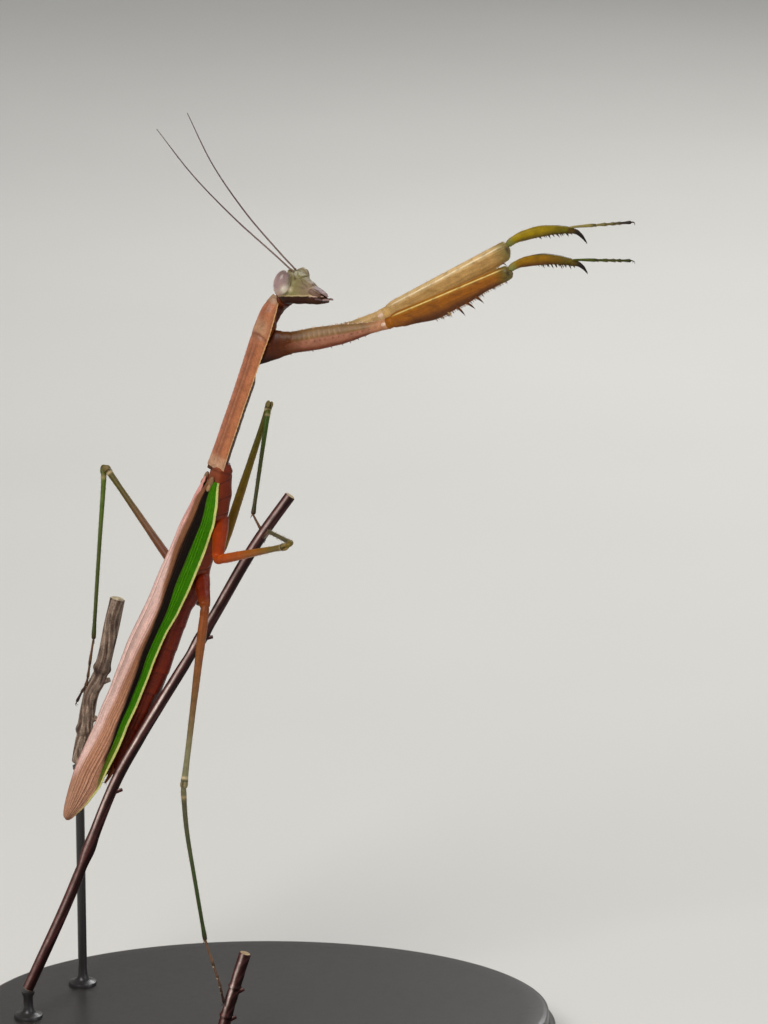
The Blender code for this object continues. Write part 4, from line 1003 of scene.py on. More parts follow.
def fore_coxa(name, side, root, hip):
    shape = Shape()
    along, across, up = frame_of(root, hip)
    near = side > 0
    if near:
        base, upper, face, low, end = (rgb(84, 42, 20), rgb(134, 104, 72), rgb(162, 112, 92), rgb(120, 66, 48),
            rgb(186, 136, 104))
        tall = [(0, 1.6), (0.26, 1.66), (0.43, 1.74), (0.61, 1.56), (0.7, 1.36), (0.79, 1.08), (0.88, 0.84),
            (1, 0.76)]
    else:
        base, upper, face, low, end = (rgb(110, 70, 40), rgb(188, 158, 112), rgb(180, 146, 104),
            rgb(140, 106, 66), rgb(192, 160, 114))
        tall = [(0, 1.1), (0.3, 1.25), (0.6, 1.2), (0.8, 1.0), (1, 0.76)]

    def folds(t, s):
        """Low folds across the upper face."""
        return sin(t * 150 + 1.4 * s) * bump(0.5, 0.32, s) * ease(0.25, 0.36, t) * ease(0.72, 0.6, t)

    def outline(t, a):
        half = blend([(0, 1.0), (0.12, 1.12), (0.35, 1.2), (0.62, 1.08), (0.85, 0.82), (1, 0.72)], t)
        c, s = cos(a), sin(a)
        x = half * squared(c, 0.9) * (1 - 0.16 * ease(0, 0.9, s))
        y = blend(tall, t) * s
        x = x - 0.07 * half * bump(0.12, 0.16, s) * np.sign(c)
        keel = ray(a, 90, 9) + 0.6 * ray(a, 270, 8)
        y = y + 0.06 * np.sign(s) * keel
        x = x + 0.016 * folds(t, s) * np.sign(c)
        y = y + 0.04 * ray(a, 90, 9) * (0.5 + 0.5 * sin(t * 105))
        return x, y

    def tint(t, a):
        s = sin(a)
        # olive-brown above, pink on the side, darker below: partly the coxa's own colours, partly painted light
        # and shade on its facets
        tone = paint(face,
            (upper, ease(0.02, 0.28, s)),
            (low, ease(-0.35, -0.85, s)),
            ((190, 160, 130), 0.28 * folds(t, s).clip(0, 1)),
            ((176, 128, 106), 0.35 * bump(-0.12, 0.16, s + 0.25 * sin(9 * t)) * ease(0.3, 0.45, t)),
            (base, ease(0.42, 0.14, t)),
            ((96, 66, 38), 0.6 * ease(0.45, 0.2, t) * ease(0.1, 0.8, s)),
            (end, ease(0.8, 0.95, t) * 0.8))
        row = ray(a, -4, 5) + ray(a, 184, 5)
        dots = bump(1, 0.35, sin(t * 125 + 1.1 * sin(t * 40))) * row
        tone = paint(tone,
            ((76, 40, 32), 0.6 * dots.clip(0, 1) * ease(0.28, 0.36, t) * ease(1, 0.9, t)),
            ((40, 20, 12), 0.9 * ray(a, 270, 12)))
        bead = (0.5 + 0.5 * sin(t * 105)) * ease(0.2, 0.34, t)
        return mix(tone, rgb(216, 192, 166), 0.5 * ray(a, 90, 8) * bead)

    sag = (0.05, 0.22, 0.2) if near else (0.5, 0.9, 0.8)
    path = spline([root - along * 1.2 - up * sag[0], root - up * sag[0], (root + hip) / 2 - up * sag[1],
        root + (hip - root) * 0.74 - up * sag[2], hip])
    net = tube(shape, path, 1.0, tint, UP, 72, 0.09, outline=outline, tips=(0.9, 0.8))
    for k in range(15):
        t = 0.3 + 0.043 * k
        seat = path[round(t * (len(path) - 1))] + up * (float(blend(tall, t)) + 0.02) + across * (0.05 if k % 2
            else -0.05)
        size = 0.11 + 0.06 * (k % 3 == 0)
        blob(shape, seat, (across, up, along), (size, size * 1.25, size), PALE_SPOT, 8, 10)
    for k in range(9):
        t = 0.18 + 0.08 * k
        seat = path[round(t * (len(path) - 1))] + across * 0.25 - up * (float(blend(tall, t)) - 0.06)
        thorn(shape, seat, seat - up * 0.3 + along * 0.08, 0.08, rgb(110, 76, 60), rgb(50, 26, 18))
    hairs(shape, net, 420, 0.38, rgb(150, 110, 84), 0.9, (0.1, 1.0))
    shape.piece("fore_coxa_shell_" + name, LEG_SHELL, "shell_brown", "fore_coxa_" + name, sharp=60)
    # the dark skin that spreads from the root of the coxa over the side of the prothorax
    skin = Shape()
    t, a = np.linspace(0, 1, 46)[:, None], around(72)
    forward = body_axes(PROTHORAX_ROLL)[0]
    lift = unit(forward + (up - forward) * ease(0.0, 0.8, t))
    high = blend([(0, 3.0), (0.25, 2.5), (0.5, 1.98), (0.75, 1.66), (1, 1.2)], t) if near else 1.2 - 0.3 * t
    wide = blend([(0, 0.9), (0.3, 1.12), (0.7, 1.08), (1, 0.8)], t)
    middle = root + along * (-1.2 + 6.2 * t) - up * sag[0]
    creases = 1 + 0.02 * sin(26 * t + 3 * sin(a))
    points = middle[:, None] + across * (wide * creases * cos(a))[..., None]
    points = points + lift[:, None] * (high * creases * sin(a))[..., None]
    tone = paint(rgb(70, 30, 12),
        (base, 0.9 * ease(0.2, 0.7, t)),
        ((96, 66, 38), 0.6 * ease(0.2, 0.75, t) * ease(0.1, 0.8, sin(a))),
        ((34, 10, 4), 0.85 * ease(0.55, 0.1, t) * ease(-0.35, -0.85, sin(a))))
    skin.grid(points, tone)
    skin.piece("fore_coxa_skin_" + name, LEG_SHELL, "shell_red", "fore_coxa_" + name, sharp=70)


FEMUR_DEPTH = [(0, 1.0), (0.12, 1.42), (0.38, 1.9), (0.6, 1.68), (0.8, 1.35), (0.95, 1.25), (1, 1.0)]
FEMUR_TOP = 1.26
FAR_FEMUR_DEPTH = [(0, 1.0), (0.12, 1.42), (0.38, 1.9), (0.6, 1.9), (0.8, 1.8), (0.95, 1.62), (1, 1.2)]


def fore_femur(name, side, hip, knee):
    along, across, up = frame_of(hip, knee)
    near = side > 0
    trochanter = Shape()
    start = hip - along * 0.6
    blob(trochanter, start + up * 0.05, (along, across, up), (1.15, 0.74, 0.9),
        rgb(196, 146, 112) if near else rgb(206, 172, 128), 22, 30)
    # a pale painted highlight on each side of the trochanter
    for turn in (-1, 1):
        blob(trochanter, start + across * 0.52 * turn + up * 0.15 - along * 0.15, (along, across, up),
            (0.62, 0.3, 0.34), rgb(232, 200, 178), 14, 18)
    net = tube(trochanter, spline([start, start + along * 0.8, start + along * 1.7]), [(0, 0.8), (1, 0.8)],
        rgb(146, 88, 34) if near else rgb(200, 164, 112), UP, 40, 0.08, flat=1.15, tips=(0.3, 0.7))
    hairs(trochanter, net, 70, 0.35, rgb(150, 110, 84), 0.9)
    trochanter.piece("fore_trochanter_" + name, LEG_SHELL, "shell_brown", "fore_femur_" + name)

    shape = Shape()
    depths = FEMUR_DEPTH if near else FAR_FEMUR_DEPTH
    if near:
        top, face, low, line = rgb(164, 108, 36), rgb(146, 84, 10), rgb(92, 46, 4), rgb(244, 220, 150)
        base, end = rgb(148, 88, 34), rgb(96, 92, 48)
    else:
        top, face, low, line = rgb(220, 188, 138), rgb(186, 148, 96), rgb(154, 114, 62), rgb(252, 234, 196)
        base, end = rgb(192, 158, 108), rgb(128, 116, 66)

    def outline(t, a):
        half = blend(depths, t) * 0.98
        c, s = cos(a), sin(a)
        above = np.minimum(half, FEMUR_TOP)
        below = half * 2 - above
        x = half * 0.58 * squared(c, 0.85)
        y = np.where(s > 0, above, below) * squared(s, 0.95)
        ridge = ray(a, 42, 6) + ray(a, 138, 6)
        x, y = x * (1 + 0.07 * ridge), y * (1 + 0.06 * ridge)
        trough = ray(a, 270, 16) * ease(0.3, 0.42, t)
        y = y + 0.3 * trough
        x = x - 0.05 * np.sign(c) * bump(-0.1, 0.25, s) * bump(0.45, 0.3, t)
        brush = 0.2 * bump(0.3, 0.035, t) * ray(a, 180 if near else 0, 40)
        lobe = 0.16 * bump(0.955, 0.03, t) * (ray(a, 0, 40) + ray(a, 180, 40))
        return x * (1 + lobe - brush * 0.3), y

    def tint(t, a):
        s = sin(a)
        tone = paint(face,
            (top, ease(0.1, 0.75, s)),
            # darker below: partly the femur's own colour, partly painted shade
            (low, ease(-0.15, -0.7, s)),
            (base, ease(0.22, 0.02, t) * 0.8),
            (end, ease(0.84, 0.97, t) * 0.85),
            (line, 0.9 * (ray(a, 42, 5.5) + ray(a, 138, 5.5)) * ease(0.03, 0.1, t) * ease(0.97, 0.88, t)))
        blot = sin(t * 47 + 2 * sin(3 * a)) * sin(4 * a + 13 * t)
        return paint(tone,
            (low * 0.8, 0.3 * ease(0.4, 0.9, blot)),
            ((46, 36, 20), 0.8 * bump(0.975, 0.014, t) * ray(a, 0, 24)),
            ((92, 52, 24), 0.5 * ray(a, 270, 14)))

    net = tube(shape, spline([hip, (hip + knee) / 2, knee]), 1.0, tint, UP, 84, 0.1, outline=outline,
        tips=(0.9, 0.7))
    outer = across * (0.55 * side)

    def lower_edge(t, offset, inset):
        half = float(blend(depths, t))
        return hip + (knee - hip) * t + offset - up * (2 * half - min(FEMUR_TOP, half) - inset)

    def spine(t, offset, length, lean, pale):
        """One spine of the lower edge; lean is how far it slants towards the knee."""
        root = lower_edge(t, offset, 0.1)
        aim = unit(along * lean - up)
        thorn(shape, root - aim * 0.45, root + aim * length, 0.25 if length > 1.2 else 0.13,
            rgb(196, 166, 116) if pale else SPINE_FOOT, rgb(140, 100, 56) if pale else SPINE_TIP,
            sag=(along * 0.1 - up * 0.02), sides=10)

    # four outer spines, a row of small inner ones and three in the middle of the trough
    for t, length, lean, pale in ((0.45, 0.7, 0.3, True), (0.53, 1.5, 0.35, False), (0.61, 1.4, 0.6, False),
            (0.69, 1.3, 0.55, False)):
        spine(t, outer, length, lean, pale)
    for i in range(12):
        spine(0.36 + 0.05 * i, -outer, 0.5 if i % 2 else 0.34, 0.5, not i % 2)
    for t in (0.33, 0.38, 0.43):
        spine(t, 0 * outer, 0.55, 0.3, True)
    for offset, count in ((outer * 0.85, 30), (-outer * 0.8, 34)):
        # a low saw of small teeth between the long spines
        for i in range(count):
            t = 0.36 + (0.58 if near else 0.44) * i / count
            root = lower_edge(t, offset, 0.12)
            thorn(shape, root + up * 0.1, root - up * 0.22 + along * 0.1, 0.07, rgb(170, 130, 84),
                rgb(60, 30, 16), sides=6, rings=3)
    hairs(shape, net, 420, 0.34, rgb(170, 130, 88), 0.9, (0.1, 1.0))
    shape.piece("fore_femur_shell_" + name, LIMB, "leg_ochre", "fore_femur_" + name, sharp=60)


def fore_tibia(name, side, knee, wrist):
    shape = Shape()
    along, across, up = frame_of(knee, wrist)
    near = side > 0
    high, low = (rgb(140, 98, 2), rgb(100, 58, 0)) if near else (rgb(154, 128, 14), rgb(104, 84, 12))

    def bowed(t):
        return knee + (wrist - knee) * t + up * ((0.72 if near else 0.62) * math.sin(PI * t))

    path = spline([knee - up * 0.85 - along * 0.1, knee - up * 0.25 + along * 0.1]
        + [bowed(t) for t in (0.14, 0.3, 0.45, 0.6, 0.75, 0.9)] + [wrist + along * 0.1])

    def outline(t, a):
        half = blend([(0, 0.6), (0.12, 0.62), (0.3, 0.82), (0.52, 0.92), (0.78, 0.75), (0.93, 0.6), (1, 0.5)],
            t)
        c, s = cos(a), sin(a)
        ridge = ray(a, 55, 7) + ray(a, 125, 7)
        x = half * 0.7 * squared(c, 0.9) * (1 + 0.05 * ridge)
        y = half * s * (1 + 0.05 * ridge) + 0.16 * ray(a, 270, 16) * ease(0.4, 0.5, t)
        return x, y

    def tint(t, a):
        return paint(high,
            (low, ease(0.3, -0.7, sin(a))),
            ((112, 122, 76), ease(0.2, 0.02, t) * 0.8),
            ((64, 66, 8), ease(0.5, 0.95, t) * 0.7),
            ((30, 24, 4), (0.9 if near else 0.25) * ease(0.6, 0.95, sin(a)) * ease(0.3, 0.5, t)),
            ((168, 146, 74), 0.4 * ray(a, 55, 6)))

    net = tube(shape, path, 1.0, tint, UP, 64, 0.08, outline=outline, tips=(0.4, 0.5))
    drop = 1.0 if near else 1.4
    hook = spline([wrist - along * 0.5 + up * 0.02, wrist + along * 0.8 - up * 0.28 * drop,
        wrist + along * 1.6 - up * 0.86 * drop, wrist + along * 2.2 - up * 1.65 * drop,
        wrist + along * 2.32 - up * 1.95 * drop])
    tube(shape, hook, [(0, 0.55), (0.3, 0.42), (0.6, 0.3), (0.85, 0.15), (1, 0.03)],
        lambda t, a: mix(rgb(84, 66, 22), rgb(26, 14, 8), ease(0.1, 0.45, t)), UP, 28, 0.07, tips=(0.3, 0.06))
    for offset, count in ((across * 0.36, 9), (across * -0.36, 11)):
        start = knee + (wrist - knee) * 0.42 + offset - up * 0.02
        end = wrist + offset - up * 0.4
        for i in range(count):
            t = i / (count - 1)
            root = start + (end - start) * t
            aim = unit(along * 0.5 - up)
            tall = 0.62 * (1.0 if i % 2 else 0.62) + 0.12 * t
            thorn(shape, root - aim * 0.25, root + aim * tall, 0.15, rgb(70, 48, 16), SPINE_TIP,
                sag=along * 0.04)
    hairs(shape, net, 260, 0.36, rgb(150, 120, 60), 0.9)
    shape.piece("fore_tibia_shell_" + name, LEG_SHELL, "leg_ochre", "fore_tibia_" + name, sharp=60)


def foot(name, node, path, radius, shares, tints, claw_down):
    """A five-jointed foot along a path, with a soft pad under each joint and two claws at the end."""
    shape = Shape()
    path, run, length = resample(spline(path), 0.05, (0, 0))
    first, last = tints
    edge = np.concatenate([[0], np.cumsum(shares)]) / sum(shares)
    for k in range(len(shares)):
        inside = (run >= edge[k] * length - 0.02) & (run <= edge[k + 1] * length + 0.06)
        part = path[inside]
        tone = mix(first, last, np.float64(k / (len(shares) - 1)))
        knots = [(0, radius * 0.72), (0.3, radius * 0.8), (0.85, radius * 1.15), (1, radius * 0.85)]
        colour = lambda t, a, tone=tone: mix(tone, tone * 0.35, ease(0.72, 0.95, t))
        net = tube(shape, part, knots, colour, TO_VIEWER, 18, 0.06, tips=(0.06, 0.1))
        hairs(shape, net, 36, 0.3, rgb(120, 90, 60), 0.8, radius=0.01)
        if k < len(shares) - 1:
            blob(shape, part[-2] + claw_down * radius * 0.75, (unit(part[-1] - part[0]), claw_down,
                np.cross(unit(part[-1] - part[0]), claw_down)), (radius * 0.9, radius * 0.5, radius * 0.7),
                rgb(170, 150, 120), 8, 12)
    end, ahead = path[-1], unit(path[-1] - path[-8])
    aside = unit(np.cross(ahead, claw_down))
    for turn in (-1, 1):
        hook = spline([end - ahead * 0.15, end + ahead * 0.28 + aside * 0.22 * turn,
            end + ahead * 0.5 + aside * 0.34 * turn + claw_down * 0.2,
            end + ahead * 0.48 + aside * 0.36 * turn + claw_down * 0.46])
        tube(shape, hook, [(0, radius * 0.4), (0.5, radius * 0.26), (1, 0.02)], rgb(38, 20, 12), claw_down, 10,
            0.06)
    shape.piece(name, LEG_SHELL, "foot_dark", node, sharp=60)


def fore_leg(name, side):
    aims = [direction(*pair) for pair in FORE_POSES[name]]
    s, r, d = FORE_ROOTS[name]
    root = body_at(s, side * r, d, PROTHORAX_ROLL)
    hip = root + aims[0] * FORE_LENGTHS["coxa"]
    fore_coxa(name, side, root, hip)
    knee = hip + aims[1] * FORE_LENGTHS["femur"]
    fore_femur(name, side, hip + aims[1] * 0.6, knee)
    hinge = knee + UP * KNEE_RISE
    wrist = hinge + aims[2] * FORE_LENGTHS["tibia"]
    fore_tibia(name, side, hinge, wrist)
    start = wrist + UP * 0.3 - aims[3] * 0.3
    toe = wrist + UP * 0.3 + aims[3] * FORE_LENGTHS["tarsus"]
    bend = wrist + UP * 0.42 + aims[3] * 0.9
    tints = (rgb(140, 128, 76), rgb(40, 30, 20)) if side < 0 else (rgb(72, 78, 20), rgb(54, 56, 20))
    foot("fore_foot_" + name, "fore_tarsus_" + name, [start, bend, (bend + toe) / 2, toe], 0.24,
        (4.2, 1.5, 1.2, 0.9, 1.6), tints, -UP)


# ---------------------------------------------------------------- walking legs

LEG_TONES = {
    ("mid", "right"): [(150, 54, 20), (190, 80, 42), (158, 92, 38), (116, 96, 44), (78, 74, 40), (74, 70, 40)],
    ("mid", "left"): [(104, 44, 20), (120, 88, 34), (104, 86, 28), (80, 76, 22), (58, 84, 12), (62, 64, 24)],
    ("hind", "right"): [(108, 30, 10), (136, 76, 46), (116, 86, 54), (122, 118, 88), (86, 82, 62), (58, 74, 38)],
    ("hind", "left"): [(96, 40, 24), (118, 60, 46), (110, 76, 54), (86, 76, 32), (88, 106, 44), (78, 88, 44)],
}


def fold_offset(thigh, shin, room):
    aside = shin - thigh * (shin @ thigh)
    return unit(aside) * room * max(0.0, -(thigh @ shin)) if np.linalg.norm(aside) > 1e-6 else 0 * aside


def walking_leg(kind, name, side):
    sizes, tones = WALKING_LEGS[kind], [rgb(*tone) for tone in LEG_TONES[(kind, name)]]
    aims = [direction(*pair) for pair in WALKING_POSES[(kind, name)]]
    s, r, d = WALKING_ROOTS[kind]
    root = body_at(s, side * r, d)
    hip = root + aims[0] * sizes["coxa"]
    knee = hip + aims[1] * sizes["femur"]
    fold = fold_offset(aims[0], aims[1], HIP_OFFSET)
    start = hip + fold + aims[1] * 0.9
    label = f"{kind}_{{}}_{name}"

    coxa = Shape()
    keel = lambda t, a: (1 + 0.05 * ray(a, 60, 14) + 0.05 * ray(a, 200, 14) - 0.06 * ray(a, 130, 20)
        + 0.01 * sin(30 * t + 4 * a))
    net = tube(coxa, spline([root - aims[0] * 2.2, root, (root + hip) / 2, hip]),
        [(0, 1.3), (0.3, 1.28), (0.7, 1.0), (1, 0.8)], lambda t, a: mix(mix(BRICK, tones[0],
        ease(0.05, 0.5, t)), tones[1], ease(0.75, 1, t) * 0.7), TO_VIEWER, 48, 0.1, section=keel,
        tips=(0.8, 0.6))
    hairs(coxa, net, 150, 0.34, rgb(170, 110, 70), 0.8)
    coxa.piece(label.format("coxa_shell"), LEG_SHELL, "shell_red", label.format("coxa"), sharp=60)

    femur = Shape()
    # the small second joint, then the long thigh
    link = spline([hip - aims[0] * 0.35, hip + fold * 0.55 + aims[1] * 0.1, start + aims[1] * 0.4,
        start + aims[1] * 1.5])
    # darker towards the hip: a darker copy of the colour, painted shade where the joint meets the coxa
    tube(femur, link, [(0, 0.62), (0.4, 0.72), (0.75, 0.66), (1, 0.55)],
        lambda t, a: mix(tones[1] * 0.75, tones[1], ease(0.2, 0.8, t)), TO_VIEWER, 32, 0.08, tips=(0.3, 0.2))
    carinae = lambda t, a: 1 + 0.06 * sum(ray(a, k, 9) for k in (45, 135, 225, 315)) + 0.22 * bump(0.975, 0.016,
        t)

    def thigh_tint(t, a):
        tone = blend([(0, tones[1]), (0.3, (tones[1] + tones[2]) / 2), (0.52, tones[2]), (0.85, tones[3])], t)
        # a painted highlight along one upper ridge as a lighter copy of the colour, and painted shade on the
        # underside as a darker copy
        tone = mix(tone, tone * 1.35, 0.5 * ray(a, 45, 10))
        tone = mix(tone, tone * 0.6, 0.35 * ease(-0.2, -0.9, sin(a)))
        speck = sin(t * 260 + 3 * sin(3 * a)) * sin(6 * a + 31 * t)
        return paint(tone,
            (tone * 0.5, 0.35 * ease(0.55, 0.95, speck)),
            ((206, 184, 148), 0.75 * bump(0.962, 0.008, t)),
            ((44, 28, 18), 0.7 * bump(0.982, 0.008, t)))

    over = TO_VIEWER if abs(aims[1][1]) < 0.7 else UP
    slim = 0.86 if (kind, name) == ("hind", "right") else 1.0
    net = tube(femur, spline([start, (start + knee) / 2, knee + aims[1] * 0.35]),
        [(0, 0.66), (0.1, 0.74), (0.35, 0.68 * slim), (0.6, 0.55 * slim), (0.85, 0.45), (0.95, 0.5), (1, 0.46)],
        thigh_tint, over, 40, 0.12, section=carinae, tips=(0.6, 0.35))
    hairs(femur, net, 360, 0.34, rgb(150, 110, 70), 0.9)
    for turn in (-1, 1):
        # rounded lobes on either side of the knee
        aside = unit(np.cross(aims[1], aims[2] + 0.01)) * turn
        blob(femur, knee + aims[1] * 0.3 + aside * 0.3, (aims[1], aside, np.cross(aims[1], aside)),
            (0.66, 0.26, 0.56), mix(tones[3], rgb(150, 130, 96), np.float64(0.4)), 12, 16)
    femur.piece(label.format("femur_shell"), LEG_SHELL, "leg_ochre", label.format("femur"), sharp=60)

    tibia = Shape()
    tight = 0.3 if (kind, name) == ("mid", "left") else 1.0
    shift = fold_offset(aims[1], aims[2], KNEE_OFFSET * tight)
    ankle = knee + aims[2] * sizes["tibia"]
    ahead = unit(ankle - knee)
    if np.linalg.norm(shift) > 0.5:
        route = [knee + aims[1] * 0.35, knee + aims[1] * 0.95 + shift * 0.35,
            knee + aims[1] * 0.5 + shift * 0.92, knee + shift * 0.95 + ahead * 1.4,
            knee + shift * 0.6 + (ankle - knee) * 0.45, ankle]
    else:
        bow = np.array((-0.62 if (kind, name) == ("hind", "right") else 0.0, 0, 0))
        route = [knee + aims[1] * 0.1, knee + ahead * 1.6 + bow * 0.5, knee + (ankle - knee) * 0.3 + bow,
            knee + (ankle - knee) * 0.62 + bow * 0.6, ankle]
    path = spline(route)

    def shin_tint(t, a):
        tone = blend([(0, tones[3]), (0.12, tones[4]), (0.6, tones[5]), (1, tones[5] * 0.7)], t)
        tone = mix(tone, rgb(190, 166, 124), 0.55 * bump(0.085, 0.012, t))
        speck = sin(t * 190 + 3 * sin(3 * a)) * sin(5 * a + 23 * t)
        return paint(tone,
            (tone * 0.5, 0.35 * ease(0.5, 0.95, speck)),
            ((60, 34, 26), 0.7 * ease(0.94, 1, t)))

    ribs = lambda t, a: 1 + 0.07 * sum(ray(a, k, 12) for k in (45, 180, 300))
    net = tube(tibia, path, [(0, 0.34), (0.07, 0.44), (0.14, 0.38), (0.5, 0.31), (0.9, 0.29), (0.97, 0.36),
        (1, 0.33)], shin_tint, TO_VIEWER, 32, 0.1, section=ribs, tips=(0.2, 0.25))
    hairs(tibia, net, 420, 0.42, rgb(150, 120, 84), 0.8)
    inner = unit(np.cross(np.cross(ahead, aims[1]), ahead))
    for k in range(8):
        at = path[int(len(path) * (0.4 + 0.07 * k))]
        aside = unit(np.cross(ahead, inner)) * (1 if k % 2 else -1)
        thorn(tibia, at - inner * 0.1, at - inner * 0.42 + ahead * 0.42 + aside * 0.2, 0.06, rgb(140, 110, 70),
            SPINE_TIP, sides=6)
    for turn in (-1, 1):
        aside = unit(np.cross(ahead, inner)) * turn
        thorn(tibia, ankle + aside * 0.15, ankle + aside * 0.42 + ahead * 0.75, 0.1, rgb(120, 90, 56),
            SPINE_TIP)
    tibia.piece(label.format("tibia_shell"), LEG_SHELL, "leg_green", label.format("tibia"), sharp=60)

    middle = ankle + aims[3] * sizes["tarsus"][0]
    toe = middle + aims[4] * sizes["tarsus"][1]
    points = [ankle - aims[3] * 0.1, (ankle + middle) / 2, middle, (middle + toe) / 2, toe - aims[4] * 0.35]
    tints = (rgb(110, 84, 66), rgb(58, 42, 40))
    down = unit(np.cross(aims[4], np.cross(aims[4], -UP) * -1))
    foot(label.format("foot"), label.format("tarsus"), points, 0.22, (3.6, 1.5, 1.2, 0.9, 1.6), tints, down)


# ---------------------------------------------------------------- stems and display stand


def bark(name, node, route, radius, slot, material, skin, knots, cut, wave=0.05):
    """A dead stalk with lengthwise ribs, leaf-scar joints at the given shares, and sawn ends."""
    shape = Shape()
    path = spline(route, 24)
    phase = RNG.uniform(0, 6, 4)

    def section(t, a):
        rough = wave * (0.5 * sin(7 * a + phase[0] + 2 * sin(9 * t))
            + 0.4 * sin(11 * a + phase[1] + 5 * sin(6 * t)) + 0.35 * sin(23 * t + 2 * a + phase[2]))
        joint = sum(bump(k, 0.02, t) * 0.2 - bump(k + 0.035, 0.015, t) * 0.08 for k in knots)
        return 0.97 + rough + joint

    tube(shape, path, radius, skin, TO_VIEWER, 72, 0.16, section=section, tips=(0.12, 0.12))
    for end, nearer in ((path[0], path[6]), (path[-1], path[-7])):
        out = unit(end - nearer)
        side = unit(np.cross(out, TO_VIEWER))
        for k, share in enumerate((0.86, 0.6, 0.34)):
            blob(shape, end + out * 0.02 * (k + 1), (out, side, np.cross(out, side)),
                (0.05, radius * share, radius * share), cut * (1 - 0.12 * (k % 2)), 8, 28)
    for k in knots[:2]:
        # the broken stub of a side shoot at each joint
        i = int(k * (len(path) - 1))
        out = unit(np.cross(path[i + 1] - path[i], (0.35, 1.0, 0.2)))
        base = path[i] + out * radius * 0.6
        aim = unit(out + 0.9 * unit(path[i - 1] - path[i]))
        tube(shape, spline([base, base + aim * 0.7, base + aim * 1.3]), [(0, radius * 0.42), (1, radius * 0.3)],
            skin, UP, 20, 0.1, tips=(0.1, 0.05))
    shape.piece(name, material, slot, node, sharp=60)


def stems():
    def dark(t, a):
        tone = paint(rgb(56, 22, 20),
            ((40, 14, 12), 0.5 + 0.5 * sin(5 * a + 9 * t)),
            # a broad painted highlight towards the upper left
            ((112, 66, 60), 0.7 * ray(a, 48, 30)))
        # a narrow bright painted highlight near the upper-left edge, strongest along the middle of the stem,
        # then painted shade over the lower-right half
        lit = blend([(0, 0.5), (0.3, 0.8), (0.42, 1.0), (0.62, 0.9), (0.72, 0.3), (1, 0.25)], t)
        return paint(tone,
            ((255, 232, 222), lit * ray(a, 58 + 4 * sin(17 * t), 12)),
            ((24, 4, 3), 0.85 * ease(82, 112, np.degrees(a)) * ease(270, 200, np.degrees(a))),
            ((26, 10, 8), 0.7 * ease(100, 150, np.degrees(a)) * ease(260, 200, np.degrees(a))),
            ((104, 62, 60), 0.3 * ease(0.3, 0.9, sin(31 * t + 3 * a))))

    def dry(t, a):
        return paint(rgb(150, 126, 108),
            ((112, 86, 72), 0.5 + 0.5 * sin(4 * a + 7 * t)),
            ((190, 170, 150), 0.6 * ease(0.2, 0.9, sin(9 * a + 3 * sin(14 * t)))),
            ((66, 42, 34), 0.75 * ease(0.45, 0.9, sin(27 * t + 2.5 * sin(2 * a)) * sin(3 * a + 11 * t))),
            ((60, 36, 28), 0.6 * bump(0.42, 0.035, t)))

    bark("stem_bark", "perch_stem", STEM_ROUTE, STEM_RADIUS, "stem_maroon", BARK, dark, (0.3, 0.72),
        rgb(196, 170, 130), 0.035)
    bark("dry_stem_bark", "perch_dry_stem", DRY_STEM_ROUTE, DRY_STEM_RADIUS, "stem_dry", DRY_BARK, dry,
        (0.42, 0.8), rgb(206, 186, 150))
    route = TWIG_ROUTE[:2] + [(-6.3, -12.9, 5.1)]
    bark("twig_bark", "perch_twig", route, TWIG_RADIUS, "stem_maroon", BARK, dark, (0.4, 0.75),
        rgb(190, 160, 120), 0.06)


def turned(place, radii, profile, sides, tint, name, node):
    """A turned piece of the stand; profile is knots of (share of the radii, height)."""
    shape = Shape()
    share, z = np.array(profile).T[..., None]
    a = around(sides)
    shape.grid(stacked(place[0] + radii[0] * share * cos(a), place[1] + radii[1] * share * sin(a), z), tint,
        caps=False)
    shape.piece(name, STAND, "stand_black", node, sharp=40)


def stand():
    """An oval base with a stepped, rounded edge, and a short peg and a thin rod that carry the stems."""
    profile = [(0.0005, 5.0), (0.5, 5.0), (0.9, 5.0), (0.955, 4.98), (0.968, 4.9), (0.975, 4.72), (0.977, 4.4),
        (0.977, 3.2), (0.979, 2.9), (0.986, 2.72), (0.994, 2.6), (0.999, 2.4), (1.0, 2.1), (1.0, 0.5),
        (0.998, 0.2), (0.992, 0.0), (0.9, 0.0), (0.4, 0.0), (0.0005, 0.0)]
    turned((0, 0), STAND_HALF, profile, 240, rgb(44, 40, 38), "stand_plinth", "stand_base")
    base = [(0.02, 4.9), (2.3, 4.9), (2.3, 5.3), (2.2, 5.5), (1.4, 5.75), (1.0, 6.1), (0.78, 6.8)]
    for name, (x, y, top), radius in (("stem", STEM_ROUTE[-1], STEM_RADIUS),
            ("dry_stem", DRY_STEM_ROUTE[-1], DRY_STEM_RADIUS)):
        high = top - 0.4 * radius
        shaft = [(0.72, 8.0), (0.72, high - 3.2), (0.76, high - 3.0), (1.02, high - 2.9), (1.02, high - 2.6),
            (0.8, high - 2.5)]
        cup = [(0.8, high - 0.9), (1.05, high - 0.5), (1.1, high), (0.02, high)]
        profile = base + (shaft if high > 12 else []) + cup
        turned((x, y), (1, 1), profile, 48, rgb(40, 37, 36), "stand_post_" + name, "stand_rod_" + name)


# ---------------------------------------------------------------- the model

head_shell()
mouth_parts()
eyes_and_ocelli()
feelers()
neck()
pronotum()
thorax()
abdomen()
for name, side in (("right", 1), ("left", -1)):
    forewing(name, side)
    hindwing(name, side)
    fore_leg(name, side)
    for kind in WALKING_LEGS:
        walking_leg(kind, name, side)
stems()
stand()

# ---------------------------------------------------------------- studio

LAMPS_AIM_AT = (0.0, 0.0, 0.09)
CAMERA_PLACE, CAMERA_TILT = (0.0194375, -0.772741, 0.294432), 75
LENS, SENSOR_WIDTH = 180, 36


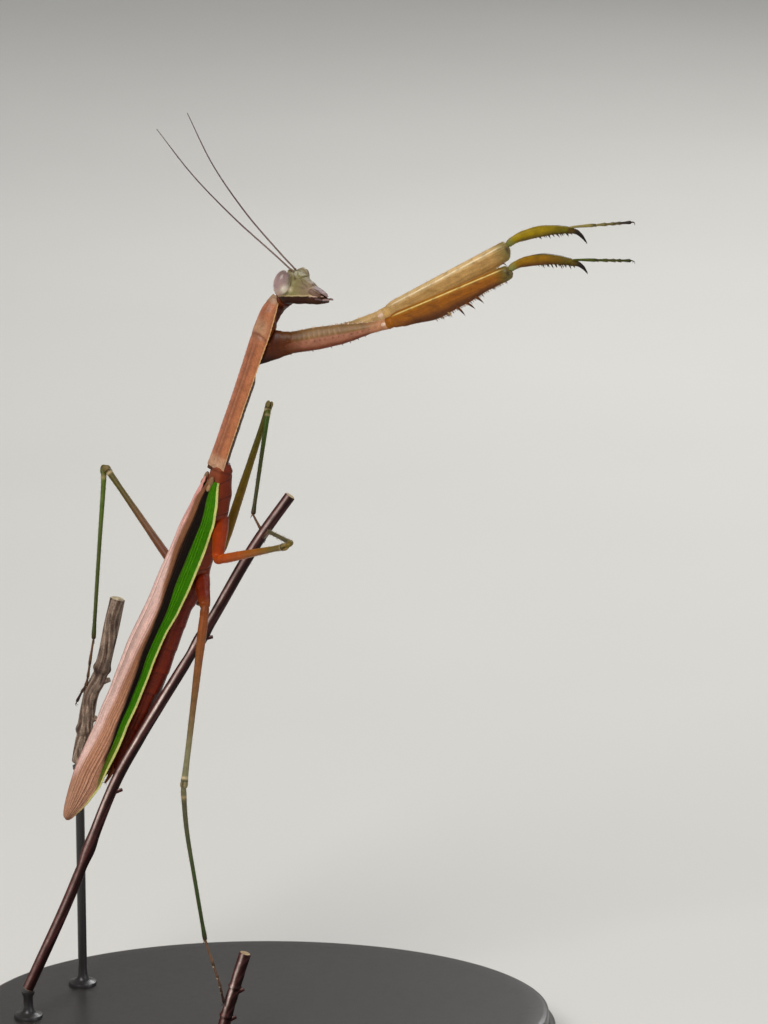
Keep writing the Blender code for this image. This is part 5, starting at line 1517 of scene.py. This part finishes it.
def backdrop():
    """A pale floor that curves up into a wall far behind."""
    profile = [(-2.0, 0.0), (0.9, 0.0), (1.1, 0.03), (1.26, 0.12), (1.36, 0.26), (1.4, 0.45), (1.4, 2.4)]
    points = spline([(0, y, z) for y, z in profile], 8)
    x = np.array((-2.2, 2.2))
    net = np.stack([np.stack([x, 0 * x + y, 0 * x + z], -1) for _, y, z in points])
    rows = len(net)
    faces = [[2 * i, 2 * i + 1, 2 * i + 3, 2 * i + 2] for i in range(rows - 1)]
    mesh = bpy.data.meshes.new("floor")
    mesh.from_pydata(net.reshape(-1, 3).tolist(), [], faces)
    mesh.shade_smooth()
    material = bpy.data.materials.new("floor")
    material.use_nodes = True
    tree = material.node_tree
    shader = tree.nodes["Principled BSDF"]
    place = add(tree, "TexCoord").outputs["Object"]
    noise = add(tree, "TexNoise", {"Vector": place, "Scale": 3.0, "Detail": 4.0})
    colour = ramp(tree, noise.outputs[0], (0.3, rgb(214, 212, 206)), (0.7, rgb(222, 220, 214)))
    tree.links.new(colour, shader.inputs["Base Color"])
    shader.inputs["Roughness"].default_value = 0.8
    mesh.materials.append(material)
    floor = bpy.data.objects.new("floor", mesh)
    bpy.context.scene.collection.objects.link(floor)


def lamp(name, place, size, watts, colour):
    """A round soft light that points at the middle of the model."""
    light = bpy.data.lights.new(name, "AREA")
    light.shape, light.size, light.energy, light.color = "DISK", size, watts, colour
    item = bpy.data.objects.new(name, light)
    item.location = place
    aim = unit(np.array(LAMPS_AIM_AT) - np.array(place))
    item.rotation_euler = (math.acos(-aim[2]), 0, math.atan2(-aim[0], aim[1]))
    bpy.context.scene.collection.objects.link(item)


backdrop()
lamp("key", (-0.35, -0.6, 0.75), 0.5, 6.5, (1.0, 0.97, 0.93))
lamp("fill", (0.8, -0.5, 0.35), 0.8, 2.2, (0.93, 0.96, 1.0))
lamp("rim", (0.3, 0.7, 0.6), 0.4, 3.4, (1.0, 1.0, 1.0))

world = bpy.data.worlds.new("studio")
world.use_nodes = True
world.node_tree.nodes["Background"].inputs[0].default_value = (0.9, 0.93, 1.0, 1)
world.node_tree.nodes["Background"].inputs[1].default_value = 0.3
bpy.context.scene.world = world
bpy.context.scene.view_settings.view_transform = "Standard"

camera = bpy.data.objects.new("camera", bpy.data.cameras.new("camera"))
camera.location = CAMERA_PLACE
camera.rotation_euler = (math.radians(CAMERA_TILT), 0, 0)
camera.data.lens, camera.data.sensor_width = LENS, SENSOR_WIDTH
camera.data.dof.use_dof = False
bpy.context.scene.collection.objects.link(camera)
bpy.context.scene.camera = camera
